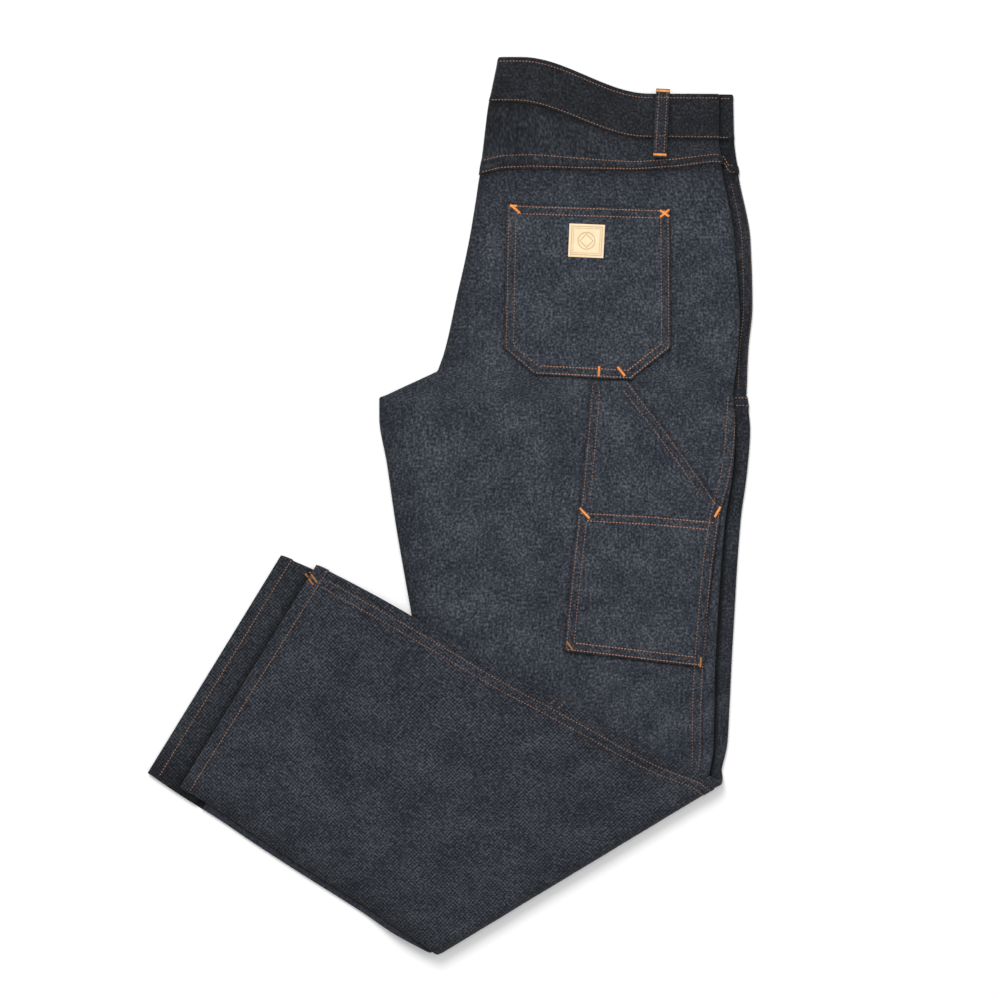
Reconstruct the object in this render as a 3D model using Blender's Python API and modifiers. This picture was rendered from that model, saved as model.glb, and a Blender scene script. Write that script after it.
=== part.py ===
"""Denim carpenter pants, folded for storage, as separate cut-and-sewn pieces.

The garment lies back side up. It is folded in half along its centre, so the two legs lie on each other,
and both legs are then folded up across the knee. Every piece is worked out from sections of that stack:
a section has a left and a right end on the surface, and each piece is a line of points in it, given by
their distance q from the left end and their depth h in the stack, from the left leg's back, which is
0, to the right leg's back. Carrying a section round the knee fold turns the stack over.
All sizes are in millimetres, and place() turns them into metres.
"""

import math
from collections import namedtuple

import bmesh
import bpy
import numpy as np
from mathutils import Vector

MM = 0.001

# Cloth
WALL = 1.5
GAP = 0.3
TUBE = 5.0
STACK = 2 * TUBE + GAP
CREASE = TUBE / 2
AROUND_CREASE = math.pi * CREASE
CORE_INSET = WALL + 0.8

# Knee fold
FOLD_AXIS = STACK + 0.4
FOLD_STEPS = 5
FOLD_RUN = 30.0
DROP_START = 8.0
DROP_LENGTH = 48.0
DROP_FADE = 60.0

# Waist
RISE_START = 0.10
RISE_SPAN = 0.54
BAND_WALL = 2.3
BAND_STACK = 10.9
BAND_ROLL = 12.0
FRONT_EDGE = 34.0
YOKE_LIFT = 0.4

# How the layers meet at their edges
TUCK_UNDER = 12.0
EDGE_INSET = 0.4
CORE_END = 1.8
SEAM_GAP = 0.6
SLIT = 0.15
SLIT_DEPTH = 3.0
HEM_DEPTH = 24.0
HEM_BLEND = 6.0

# How finely the sections are cut
UPPER_STEP = 38.0
LOWER_STEP = 20.0
FLAT_COLUMNS = 7
CREASE_COLUMNS = 5
CLEAR_OF_CREASE = 26.0
NEAR_SEAM = (8.0, 4.0, 0.0)

# Above the knee panels the backs wrap round their crease to the side seam: distances from its tangent
HIP_WRAP = (1.1, 2.8, 4.5, 6.2, AROUND_CREASE, AROUND_CREASE + 2.5)

Row = namedtuple("Row", "name left_x left_y right_x right_y rise step seam_right seam_left "
                        "roll_right roll_left roll_width tuck")
# left and right: the ends of the section; rise: how far its left end is drawn up the page
# step: how far the left leg's crease stands out past the right leg's
# seam: where each back ends at the side seam; roll: how far each back turns down at its inner edge
# tuck: how far the left leg's inner edge lies inside the right leg's
UPPER = [
    Row("waist top", 44.3, 372.9, 256.1, 372.0, 32.6, 13.0, -0.6, -0.6, 5.6, 0, 18, 0),
    Row("waist seam", 36.2, 335.8, 257.0, 333.5, 31.7, 14.0, -0.6, -0.6, 5.6, 0, 18, 0),
    Row("yoke seam", 27.2, 298.2, 261.5, 300.0, 1.0, 15.0, -0.6, -0.6, 5.6, 0, 18, 0),
    Row("hip", 17.2, 240.3, 272.4, 240.3, 0, 15.0, -0.6, -0.6, 5.6, 0, 18, 0),
    Row("seat", 3.6, 176.9, 274.2, 181.5, 0, 12.0, -0.6, -0.6, 5.6, 0, 18, 0),
    Row("low seat", -5.4, 138.9, 270.6, 142.5, 0, 9.5, -0.6, -0.6, 5.6, 0, 17, 0),
    Row("crotch corner", -11.8, 121.7, 269.7, 124.0, 0, 10.5, -0.6, -0.6, 5.0, 0, 15, 0),
    Row("fork", -38.9, 109.1, 269.3, 110.5, 0, 12.0, -0.6, -0.6, 4.0, 0, 12, 0),
    Row("above panel", -56.1, 100.9, 268.8, 100.5, 0, 12.5, -0.6, -0.6, 3.4, 0, 9, 0),
    Row("knee panel", -57.9, 100.0, 268.8, 99.3, 0, 12.5, -0.6, -0.6, 3.3, 0, 9, 0),
    Row("fork tip", -64.3, 97.3, 269.7, 92.0, 0, 13.5, -0.6, -0.7, 2.9, 0, 7, 0),
    Row("upper thigh", -64.3, 79.2, 272.0, 70.0, 0, 14.5, -0.7, -1.0, 2.9, 0, 7, 0),
    Row("thigh", -57.0, 36.7, 269.7, 36.0, 0, 13.0, -1.0, -3.0, 2.9, 0, 7, 0),
    Row("mid thigh", -49.8, -13.1, 263.4, -13.1, 0, 14.5, -4.5, -6.0, 2.9, 0, 7, 0),
    Row("low thigh", -40.7, -67.4, 259.7, -62.9, 0, 15.0, -7.0, -8.0, 2.9, 0, 7, 0),
    Row("above knee", -34.4, -103.6, 257.9, -96.4, 0, 15.0, -8.0, -8.5, 2.9, 0, 7, 0),
    Row("knee a", -26.2, -176.0, 255.2, -141.6, 0, 15.0, -9.0, -8.5, 2.9, 0, 7, 0),
    Row("knee b", -19.9, -257.5, 253.4, -181.5, 0, 15.0, -10.0, -8.5, 2.9, 0, 7, 0),
    Row("knee c", -16.3, -329.9, 251.6, -214.0, 0, 14.5, -10.5, -8.5, 2.9, 0, 7, 0),
    Row("fold start", -15.6, -397.5, 246.2, -239.4, 0, 14.0, -11.0, -8.5, 2.0, 0.6, 7, 3),
]
LOWER = [
    Row("fold end", -23.5, -402.3, 236.2, -245.3, 0, 14.0, -11.0, -8.5, 0.5, 1.6, 6, 5),
    Row("shin a", -50.7, -387.8, 195.0, -228.5, 0, 13.0, -11.0, -8.5, 0, 2.3, 6, 7),
    Row("shin b", -89.6, -362.5, 130.3, -192.8, 0, 12.0, -11.0, -8.5, 0, 2.3, 6, 7),
    Row("panel end", -111.3, -348.9, 94.1, -173.3, 0, 10.0, -11.0, -8.0, 0, 2.3, 6, 7),
    Row("shin c", -133.0, -335.3, 57.9, -154.3, 0, 9.0, -11.0, -7.5, 0, 2.3, 6, 7),
    Row("shin d", -176.5, -307.2, -12.7, -112.7, 0, 7.0, -11.0, -7.0, 0, 2.3, 6, 7),
    Row("shin e", -208.5, -285.5, -66.1, -82.0, 0, 6.0, -11.0, -7.0, 0, 2.3, 6, 7),
    Row("left hem", -248.0, -260.6, -121.3, -54.3, 0, 4.5, -11.0, -5.0, 0, 2.3, 6, 7),
    Row("right hem", -274.2, -242.5, -151.0, -41.5, 0, 4.5, -11.0, -5.0, 0, 2.3, 6, 7),
]

# Patches on the right back: corners in order, from the real pocket sizes
BACK_POCKET = [(51.5, 272.8), (199.2, 268.2), (200.0, 142.5), (163.8, 113.6), (76.0, 118.1), (48.9, 141.6)]
LABEL = [(108.1, 255.1), (140.3, 253.8), (138.7, 223.6), (106.8, 225.0)]
SLANT_POCKET = [(127.5, 112.8), (161.0, 113.0), (197.2, 65.6), (217.5, 37.6), (245.4, -3.0),
                (117.7, -3.2)]
TOOL_POCKET = [(115.8, -5.0), (180.0, -8.5), (244.0, -14.0), (238.6, -49.0), (229.4, -122.0), (228.6, -146.6),
               (165.0, -139.0), (103.2, -131.8), (106.0, -100.0)]
PATCH_BASE = STACK + GAP
PATCH_WALL = 1.5
TOOL_POCKET_WALL = 2.1
LABEL_WALL = 1.0
PATCH_BEVEL = 0.4

# Belt loop, over the waistband and the yoke
LOOP_TOP = Vector((192.8, 376.5))
LOOP_BOTTOM = Vector((189.6, 314.5))
LOOP_WIDTH = 11.8
LOOP_WALL = 1.6
LOOP_ARCH = 1.4
LOOP_STEPS = 8

DENIM = (0.030, 0.036, 0.052)
DARK_DENIM = (0.022, 0.026, 0.038)
LEATHER = (0.62, 0.50, 0.33)


def clear_scene():
    for item in list(bpy.data.objects):
        bpy.data.objects.remove(item, do_unlink=True)


def ease(t):
    t = min(max(t, 0.0), 1.0)
    return t * t * (3 - 2 * t)


def row_lengths(rows):
    """The distance along the stack at each row, the mean of its two ends."""
    lengths = [0.0]
    for above, below in zip(rows, rows[1:]):
        left = math.dist((above.left_x, above.left_y), (below.left_x, below.left_y))
        right = math.dist((above.right_x, above.right_y), (below.right_x, below.right_y))
        lengths.append(lengths[-1] + (left + right) / 2)
    return np.array(lengths)


def smooth_columns(at, table, w):
    """The rows' values at w, on a monotone cubic through each column."""
    step = np.diff(at)
    slope = np.diff(table, axis=0) / step[:, None]
    before, after = slope[:-1], slope[1:]
    same_way = before * after > 0
    total = np.where(same_way, before + after, 1.0)
    inner = np.where(same_way, 2 * before * after / total, 0.0)
    tangent = np.vstack([slope[:1], inner, slope[-1:]])
    i = int(np.clip(np.searchsorted(at, w) - 1, 0, len(step) - 1))
    t = (w - at[i]) / step[i]
    return ((1 + 2 * t) * (1 - t) ** 2 * table[i] + t * (1 - t) ** 2 * step[i] * tangent[i]
            + t * t * (3 - 2 * t) * table[i + 1] - t * t * (1 - t) * step[i] * tangent[i + 1])


UPPER_AT = row_lengths(UPPER)
LOWER_AT = UPPER_AT[-1] + FOLD_RUN + row_lengths(LOWER)
UPPER_TABLE = np.array([row[1:] for row in UPPER], dtype=float)
LOWER_TABLE = np.array([row[1:] for row in LOWER], dtype=float)
ROW_AT = {row.name: float(at) for row, at in zip(UPPER + LOWER, np.concatenate([UPPER_AT, LOWER_AT]))}

Section = namedtuple("Section", "left across width turn values")
FOLD_LEFT = Vector((UPPER[-1].left_x, UPPER[-1].left_y))
FOLD_ALONG = (Vector((UPPER[-1].right_x, UPPER[-1].right_y)) - FOLD_LEFT).normalized()
FOLD_OUT = Vector((FOLD_ALONG.y, -FOLD_ALONG.x))


def section(w):
    """The section at distance w along the stack, and how far it has turned round the knee fold."""
    if w <= UPPER_AT[-1]:
        values, turn = smooth_columns(UPPER_AT, UPPER_TABLE, w), 0.0
    elif w >= LOWER_AT[0]:
        values, turn = smooth_columns(LOWER_AT, LOWER_TABLE, w), math.pi
    else:
        t = (w - UPPER_AT[-1]) / FOLD_RUN
        values, turn = (1 - t) * UPPER_TABLE[-1] + t * LOWER_TABLE[0], math.pi * t
    row = Row("", *values)
    left = Vector((row.left_x, row.left_y))
    span = Vector((row.right_x, row.right_y)) - left
    return Section(left, span.normalized(), span.length, turn, row)


def drop(point):
    """How far the folded legs come down beside the upper legs, until they lie on the floor."""
    edge = float(np.interp(-point.y, -UPPER_TABLE[:, 1], UPPER_TABLE[:, 0]))
    inward = -(point - FOLD_LEFT).dot(FOLD_OUT)
    outside = ease((edge - DROP_START - point.x) / DROP_LENGTH)
    return (2 * FOLD_AXIS - STACK) * outside * ease(inward / DROP_FADE)


def place(s, q, h):
    """The point q from the section's left end and h deep in the stack, in metres."""
    base = s.left + s.across * q
    base.y += s.values.rise * (1 - ease((q / s.width - RISE_START) / RISE_SPAN))
    radius = FOLD_AXIS - h
    height = FOLD_AXIS - radius * math.cos(s.turn)
    base += FOLD_OUT * (radius * math.sin(s.turn))
    if s.turn > 3:
        height -= drop(base)
    return Vector((base.x, base.y, height)) * MM


def stations():
    """The distances at which every piece has points, so that layers bend alike."""
    found = []
    for lengths, step in ((UPPER_AT, UPPER_STEP), (LOWER_AT, LOWER_STEP)):
        for start, end in zip(lengths, lengths[1:]):
            count = max(1, round((end - start) / step))
            found += [start + (end - start) * k / count for k in range(count)]
        found.append(lengths[-1])
    found += [UPPER_AT[-1] + FOLD_RUN * k / FOLD_STEPS for k in range(1, FOLD_STEPS)]
    hem = ROW_AT["left hem"]
    found += [hem - HEM_DEPTH, hem - HEM_DEPTH - HEM_BLEND]
    return sorted(found)


STATIONS = stations()


def span(start, end):
    """The stations from start to end, with those two as the first and the last."""
    return [start] + [w for w in STATIONS if start + 0.5 < w < end - 0.5] + [end]


def crease_q(s, leg):
    """Where a leg's crease ends on the right."""
    return s.width - (s.values.step if leg == "right" else 0.0)


def round_crease(s, leg, a):
    """The point at distance a along a leg's outer face, from where its back meets the crease."""
    centre = crease_q(s, leg) - CREASE
    if a < 0:
        q, depth = centre + a, 0.0
    elif a <= AROUND_CREASE:
        q = centre + CREASE * math.sin(a / CREASE)
        depth = CREASE * (1 - math.cos(a / CREASE))
    else:
        q, depth = centre - (a - AROUND_CREASE), TUBE
    return q, (STACK - depth if leg == "right" else depth)


def roll_points(s, leg, angles):
    """Points on the rolled inner edge of a leg's back, from its end to the flat."""
    row = s.values
    start = 0.0 if leg == "right" else row.tuck
    width = row.tuck + row.roll_width - start
    roll = row.roll_right if leg == "right" else row.roll_left
    points = []
    for angle in angles:
        q = start + width * (1 - math.cos(math.radians(angle)))
        depth = roll * (1 - math.sin(math.radians(angle)))
        points.append((q, STACK - depth if leg == "right" else depth))
    return points


def flat_qs(s):
    """The columns that every layer shares between its rolled edge and its crease."""
    start = s.values.tuck + s.values.roll_width
    end = crease_q(s, "right") - CLEAR_OF_CREASE
    return [start + (end - start) * k / FLAT_COLUMNS for k in range(FLAT_COLUMNS + 1)]


def back_profile(leg, lift=0.0):
    """A leg's back, from its inner edge to its side seam."""
    def profile(w):
        s = section(w)
        seam = s.values.seam_right if leg == "right" else s.values.seam_left
        level = STACK if leg == "right" else 0.0
        points = roll_points(s, leg, (0, 45))
        points += [(q, level) for q in flat_qs(s)]
        points += [round_crease(s, leg, seam - before) for before in NEAR_SEAM]
        if w < ROW_AT["above panel"] + GAP:
            points += [round_crease(s, leg, a) for a in HIP_WRAP]
        return [(q, h + lift) for q, h in points]
    return profile


def inner_end(s, leg, w):
    """How far under the stack a leg's front piece reaches: a tuck, or the whole leg near its hem."""
    centre = crease_q(s, leg) - CREASE
    tucked = crease_q(s, "right") - TUCK_UNDER
    whole = (0.0 if leg == "right" else s.values.tuck) + EDGE_INSET
    near_hem = ease((w - (ROW_AT["left hem"] - HEM_DEPTH - HEM_BLEND)) / HEM_BLEND)
    return AROUND_CREASE + centre - (tucked + (whole - tucked) * near_hem)


def front_profile(leg, w):
    """A leg's front where it shows, from the side seam round the crease and under the stack."""
    s = section(w)
    seam = s.values.seam_right if leg == "right" else s.values.seam_left
    reach = inner_end(s, leg, w)
    start = min(seam + SEAM_GAP, -GAP)
    distances = [start, start / 2]
    distances += [AROUND_CREASE * k / CREASE_COLUMNS for k in range(CREASE_COLUMNS + 1)]
    distances += [AROUND_CREASE + (reach - AROUND_CREASE) / 2, reach]
    return [round_crease(s, leg, a) for a in distances]


def hip_front_profile(w):
    """The left front beside its side seam, on the strip that shows past the right leg."""
    s = section(w)
    start = HIP_WRAP[-1] + GAP
    reach = inner_end(s, "left", w)
    return [round_crease(s, "left", start + (reach - start) * k / 3) for k in range(4)]


def under_wall(start, toward, side):
    """A point under the end of a wall: start moved in, square to its first stretch."""
    along = Vector((toward[0] - start[0], toward[1] - start[1])).normalized()
    return start[0] - along.y * side * CORE_INSET, start[1] + along.x * side * CORE_INSET


def core_profile(w):
    """The hidden layers, between the creases' open tubes and an inner edge that shows two layers."""
    s = section(w)
    row = s.values
    low, high = CORE_INSET, STACK - CORE_INSET
    end = crease_q(s, "right") - TUCK_UNDER - CORE_END
    flats = flat_qs(s)
    low_edge, low_next = roll_points(s, "left", (0, 45))
    high_edge, high_next = roll_points(s, "right", (0, 45))
    low_corner = under_wall(low_edge, low_next, 1)
    high_corner = under_wall(high_edge, high_next, -1)
    tuck_q = row.tuck + EDGE_INSET
    bottom = [(max(low_corner[0], tuck_q + 0.05), low_corner[1]),
              (low_next[0] + row.roll_left / 2, low_next[1] + CORE_INSET)]
    bottom += [(q, low) for q in flats] + [(end, low)]
    top = [(end, high)] + [(q, high) for q in reversed(flats)]
    top += [(high_next[0] + row.roll_right / 2, high_next[1] - CORE_INSET - row.roll_right / 4),
            (max(high_corner[0], EDGE_INSET + 0.05), high_corner[1])]
    top_edge = top[-1][1] - 0.05
    low_end = bottom[0][1] + 0.05
    middle = (top_edge + low_end) / 2
    slit = min(SLIT, (top_edge - low_end) / 6)
    edge = [(EDGE_INSET, top_edge), (EDGE_INSET, middle + slit), (SLIT_DEPTH, middle + slit),
            (row.tuck + SLIT_DEPTH, middle - slit), (tuck_q, middle - slit), (tuck_q, low_end)]
    return bottom + top + edge


def band_profile(w):
    """The waistband's middle line: right front, right back, round the centre back, left back, left front."""
    s = section(w)
    levels = [BAND_WALL / 2 + (BAND_STACK - BAND_WALL) * k / 3 for k in range(4)]
    turn = (levels[1] - levels[0]) / 2
    middle = BAND_STACK / 2
    right_q = crease_q(s, "right") - turn - BAND_WALL / 2
    left_q = crease_q(s, "left") - turn - BAND_WALL / 2
    roll_q = BAND_ROLL + BAND_WALL / 2
    halves = [math.pi * k / 5 - math.pi / 2 for k in range(6)]
    flats = flat_qs(s)
    path = [(FRONT_EDGE, levels[2])] + [(q, levels[2]) for q in flats[1:]]
    path += [(right_q + turn * math.cos(a), levels[2] + turn + turn * math.sin(a)) for a in halves]
    path += [(q, levels[3]) for q in reversed(flats)]
    path += [(roll_q - BAND_ROLL * math.cos(a), middle - (levels[3] - middle) * math.sin(a)) for a in halves]
    path += [(q, levels[0]) for q in flats]
    path += [(left_q + turn * math.cos(a), levels[0] + turn + turn * math.sin(a)) for a in halves]
    path += [(q, levels[1]) for q in reversed(flats[1:])] + [(FRONT_EDGE, levels[1])]
    return path


def lofted_mesh(name, rows, rightward, closed):
    """Triangles between rows of points; the diagonals of layers over each other run alike."""
    mesh = bmesh.new()
    grid = [[mesh.verts.new(point) for point in row] for row in rows]
    count = len(rows[0])
    for above, below in zip(grid, grid[1:]):
        for j in range(count if closed else min(len(above), len(below)) - 1):
            k = (j + 1) % count
            if rightward[j]:
                mesh.faces.new((above[j], below[j], below[k]))
                mesh.faces.new((above[j], below[k], above[k]))
            else:
                mesh.faces.new((above[j], below[j], above[k]))
                mesh.faces.new((above[k], below[j], below[k]))
    if closed:
        for ring in (grid[0], list(reversed(grid[-1]))):
            cap = mesh.faces.new(ring)
            bmesh.ops.triangulate(mesh, faces=[cap], ngon_method="EAR_CLIP")
    data = bpy.data.meshes.new(name)
    mesh.to_mesh(data)
    mesh.free()
    return data


def add_object(name, data, material):
    data.materials.append(material)
    item = bpy.data.objects.new(name, data)
    PARTS.objects.link(item)
    return item


def profile_rows(distances, profile):
    """The points of each row, and which way each stretch of the profile runs across the stack."""
    lines = [profile(w) for w in distances]
    rows = [[place(section(w), q, h) for q, h in line] for w, line in zip(distances, lines)]
    first = lines[0]
    rightward = [first[(j + 1) % len(first)][0] > first[j][0] for j in range(len(first))]
    return rows, rightward


def cloth(name, distances, profile, material, inward=True, wall=WALL, offset=-1.0):
    """A panel: an open surface along the stack, thickened by its wall."""
    rows, rightward = profile_rows(distances, profile)
    data = lofted_mesh(name, rows, rightward, closed=False)
    if not inward:
        data.flip_normals()
    item = add_object(name, data, material)
    data.shade_smooth()
    solid = item.modifiers.new("wall", "SOLIDIFY")
    solid.thickness = wall * MM
    solid.offset = offset
    return item


def back_piece(name, leg, distances, material, lift=0.0):
    return cloth(name, distances, back_profile(leg, lift), material, inward=leg == "right")


def front_piece(name, leg, distances, material):
    return cloth(name, distances, lambda w: front_profile(leg, w), material, inward=leg == "right")


def core(name, distances, material):
    rows, rightward = profile_rows(distances, core_profile)
    data = lofted_mesh(name, rows, rightward, closed=True)
    data.flip_normals()
    return add_object(name, data, material)


def patch(name, outline, base, wall, material):
    """A flat patch that lies on the right back, its outline moved out to base."""
    mesh = bmesh.new()
    corners = [mesh.verts.new(Vector((x, y, base)) * MM) for x, y in reversed(outline)]
    mesh.faces.new(corners)
    data = bpy.data.meshes.new(name)
    mesh.to_mesh(data)
    mesh.free()
    item = add_object(name, data, material)
    solid = item.modifiers.new("wall", "SOLIDIFY")
    solid.thickness = wall * MM
    solid.offset = 1.0
    bevel = item.modifiers.new("edge", "BEVEL")
    bevel.width = PATCH_BEVEL * MM
    bevel.segments = 1
    return item


def belt_loop(name, material):
    """A strip over the waistband, sewn down at its two ends."""
    along = LOOP_BOTTOM - LOOP_TOP
    side = Vector((-along.y, along.x)).normalized() * (LOOP_WIDTH / 2)
    rows = []
    for k in range(LOOP_STEPS + 1):
        t = k / LOOP_STEPS
        centre = LOOP_TOP + along * t
        height = BAND_STACK + GAP + LOOP_ARCH * math.sin(math.pi * t)
        rows.append([Vector((*(centre - side), height)) * MM, Vector((*(centre + side), height)) * MM])
    data = lofted_mesh(name, rows, [True], closed=False)
    item = add_object(name, data, material)
    solid = item.modifiers.new("wall", "SOLIDIFY")
    solid.thickness = LOOP_WALL * MM
    solid.offset = 1.0
    return item


def material(name, colour, roughness):
    made = bpy.data.materials.new(name)
    made.use_nodes = True
    shader = made.node_tree.nodes["Principled BSDF"]
    shader.inputs["Base Color"].default_value = (*colour, 1)
    shader.inputs["Roughness"].default_value = roughness
    shader.inputs["Metallic"].default_value = 0.0
    return made


def cloth_material(name, colour=DENIM):
    return material(name + "_cloth", colour, 0.85)


def build_pants():
    at = ROW_AT
    whole = span(at["yoke seam"] + GAP, at["left hem"])
    whole_right = span(at["yoke seam"] + GAP, at["right hem"])
    yoke = span(at["waist seam"] + GAP, at["yoke seam"])
    panel = span(at["knee panel"] + GAP, at["panel end"])
    shin_left = span(at["panel end"] + GAP, at["left hem"])
    shin_right = span(at["panel end"] + GAP, at["right hem"])
    hip = span(at["waist seam"] + GAP, at["above panel"] - GAP)

    cloth("waistband", span(0.0, at["waist seam"]), band_profile, cloth_material("waistband"),
          wall=BAND_WALL, offset=0.0)
    belt_loop("belt_loop", cloth_material("belt_loop"))
    back_piece("yoke_right", "right", yoke, cloth_material("yoke_right"), YOKE_LIFT)
    back_piece("yoke_left", "left", yoke, cloth_material("yoke_left"))
    back_piece("back_right", "right", whole_right, cloth_material("back_right"))
    back_piece("back_left", "left", whole, cloth_material("back_left"))
    cloth("front_left_hip", hip, hip_front_profile, cloth_material("front_left_hip"), inward=False)
    front_piece("knee_panel_right", "right", panel, cloth_material("knee_panel_right"))
    front_piece("knee_panel_left", "left", panel, cloth_material("knee_panel_left"))
    front_piece("front_right_shin", "right", shin_right, cloth_material("front_right_shin"))
    front_piece("front_left_shin", "left", shin_left, cloth_material("front_left_shin"))

    layers = span(at["waist seam"] + GAP, at["left hem"] - HEM_DEPTH - HEM_BLEND - 2 * GAP)
    core("inner_layers", layers, cloth_material("inner_layers", DARK_DENIM))

    patch("back_pocket", BACK_POCKET, PATCH_BASE, PATCH_WALL, cloth_material("back_pocket"))
    patch("pocket_label", LABEL, PATCH_BASE + PATCH_WALL + GAP, LABEL_WALL, material("label", LEATHER, 0.6))
    patch("tool_pocket_upper", SLANT_POCKET, PATCH_BASE, PATCH_WALL, cloth_material("tool_pocket_upper"))
    patch("tool_pocket_lower", TOOL_POCKET, PATCH_BASE, TOOL_POCKET_WALL, cloth_material("tool_pocket_lower"))


clear_scene()
PARTS = bpy.data.collections.new("carpenter_pants")
bpy.context.scene.collection.children.link(PARTS)
build_pants()
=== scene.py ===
"""The looks of folded denim carpenter pants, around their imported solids.

Each solid is replaced by a fine shell of cloth on the same form, with its creases, laps and puckers.
The shells are worked out from sections of the folded stack: a section has a left and a right end on the
surface, and a point in it has a distance q from the left end and a depth h in the stack, from the left
leg's back, which is 0, to the right leg's back. Carrying a section round the knee fold turns it over.
A leg's outer face is measured by a, the distance past the line where its back meets its side crease.
All sizes here are in millimetres, and points are turned into metres as meshes are made.
"""

import math
from collections import namedtuple

import bpy
import numpy as np
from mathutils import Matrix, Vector
from mathutils.bvhtree import BVHTree


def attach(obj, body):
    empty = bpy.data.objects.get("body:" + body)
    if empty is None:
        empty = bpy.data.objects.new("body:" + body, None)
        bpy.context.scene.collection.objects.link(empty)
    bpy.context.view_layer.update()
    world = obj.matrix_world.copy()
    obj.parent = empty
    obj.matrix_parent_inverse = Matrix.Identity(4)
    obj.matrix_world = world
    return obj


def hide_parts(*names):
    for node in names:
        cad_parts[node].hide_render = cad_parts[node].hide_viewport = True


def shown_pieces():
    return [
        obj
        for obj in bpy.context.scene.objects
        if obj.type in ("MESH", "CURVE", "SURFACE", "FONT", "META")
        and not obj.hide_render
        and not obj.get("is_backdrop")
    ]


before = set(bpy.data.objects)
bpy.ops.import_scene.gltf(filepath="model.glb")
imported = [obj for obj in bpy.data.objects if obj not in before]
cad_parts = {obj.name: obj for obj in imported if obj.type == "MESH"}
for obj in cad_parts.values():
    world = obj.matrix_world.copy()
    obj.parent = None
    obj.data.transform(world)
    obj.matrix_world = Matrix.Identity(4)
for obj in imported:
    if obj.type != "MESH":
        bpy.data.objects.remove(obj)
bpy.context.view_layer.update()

MM = 0.001

# The stack's sizes, as in the solids
WALL = 1.5
GAP = 0.3
TUBE = 5.0
STACK = 2 * TUBE + GAP
CREASE = TUBE / 2
AROUND_CREASE = math.pi * CREASE
FOLD_AXIS = STACK + 0.4
FOLD_RUN = 30.0
DROP_START = 8.0
DROP_LENGTH = 48.0
DROP_FADE = 60.0
RISE_START = 0.10
RISE_SPAN = 0.54
BAND_WALL = 2.3
BAND_STACK = 10.9
BAND_ROLL = 12.0
FRONT_EDGE = 34.0
TUCK_UNDER = 12.0
EDGE_INSET = 0.4
HEM_DEPTH = 24.0
HEM_BLEND = 6.0

Row = namedtuple("Row", "name left_x left_y right_x right_y rise step seam_right seam_left "
                        "roll_right roll_left roll_width tuck")
# left and right: the ends of the section; rise: how far its left end is drawn up the page
# step: how far the left leg's crease stands out past the right leg's
# seam: where each back ends at the side seam; roll: how far each back turns down at its inner edge
# tuck: how far the left leg's inner edge lies inside the right leg's
UPPER = [
    Row("waist top", 44.3, 372.9, 256.1, 372.0, 32.6, 13.0, -0.6, -0.6, 5.6, 0, 18, 0),
    Row("waist seam", 36.2, 335.8, 257.0, 333.5, 31.7, 14.0, -0.6, -0.6, 5.6, 0, 18, 0),
    Row("yoke seam", 27.2, 298.2, 261.5, 300.0, 1.0, 15.0, -0.6, -0.6, 5.6, 0, 18, 0),
    Row("hip", 17.2, 240.3, 272.4, 240.3, 0, 15.0, -0.6, -0.6, 5.6, 0, 18, 0),
    Row("seat", 3.6, 176.9, 274.2, 181.5, 0, 12.0, -0.6, -0.6, 5.6, 0, 18, 0),
    Row("low seat", -5.4, 138.9, 270.6, 142.5, 0, 9.5, -0.6, -0.6, 5.6, 0, 17, 0),
    Row("crotch corner", -11.8, 121.7, 269.7, 124.0, 0, 10.5, -0.6, -0.6, 5.0, 0, 15, 0),
    Row("fork", -38.9, 109.1, 269.3, 110.5, 0, 12.0, -0.6, -0.6, 4.0, 0, 12, 0),
    Row("above panel", -56.1, 100.9, 268.8, 100.5, 0, 12.5, -0.6, -0.6, 3.4, 0, 9, 0),
    Row("knee panel", -57.9, 100.0, 268.8, 99.3, 0, 12.5, -0.6, -0.6, 3.3, 0, 9, 0),
    Row("fork tip", -64.3, 97.3, 269.7, 92.0, 0, 13.5, -0.6, -0.7, 2.9, 0, 7, 0),
    Row("upper thigh", -64.3, 79.2, 272.0, 70.0, 0, 14.5, -0.7, -1.0, 2.9, 0, 7, 0),
    Row("thigh", -57.0, 36.7, 269.7, 36.0, 0, 13.0, -1.0, -3.0, 2.9, 0, 7, 0),
    Row("mid thigh", -49.8, -13.1, 263.4, -13.1, 0, 14.5, -4.5, -6.0, 2.9, 0, 7, 0),
    Row("low thigh", -40.7, -67.4, 259.7, -62.9, 0, 15.0, -7.0, -8.0, 2.9, 0, 7, 0),
    Row("above knee", -34.4, -103.6, 257.9, -96.4, 0, 15.0, -8.0, -8.5, 2.9, 0, 7, 0),
    Row("knee a", -26.2, -176.0, 255.2, -141.6, 0, 15.0, -9.0, -8.5, 2.9, 0, 7, 0),
    Row("knee b", -19.9, -257.5, 253.4, -181.5, 0, 15.0, -10.0, -8.5, 2.9, 0, 7, 0),
    Row("knee c", -16.3, -329.9, 251.6, -214.0, 0, 14.5, -10.5, -8.5, 2.9, 0, 7, 0),
    Row("fold start", -15.6, -397.5, 246.2, -239.4, 0, 14.0, -11.0, -8.5, 2.0, 0.6, 7, 3),
]
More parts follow.
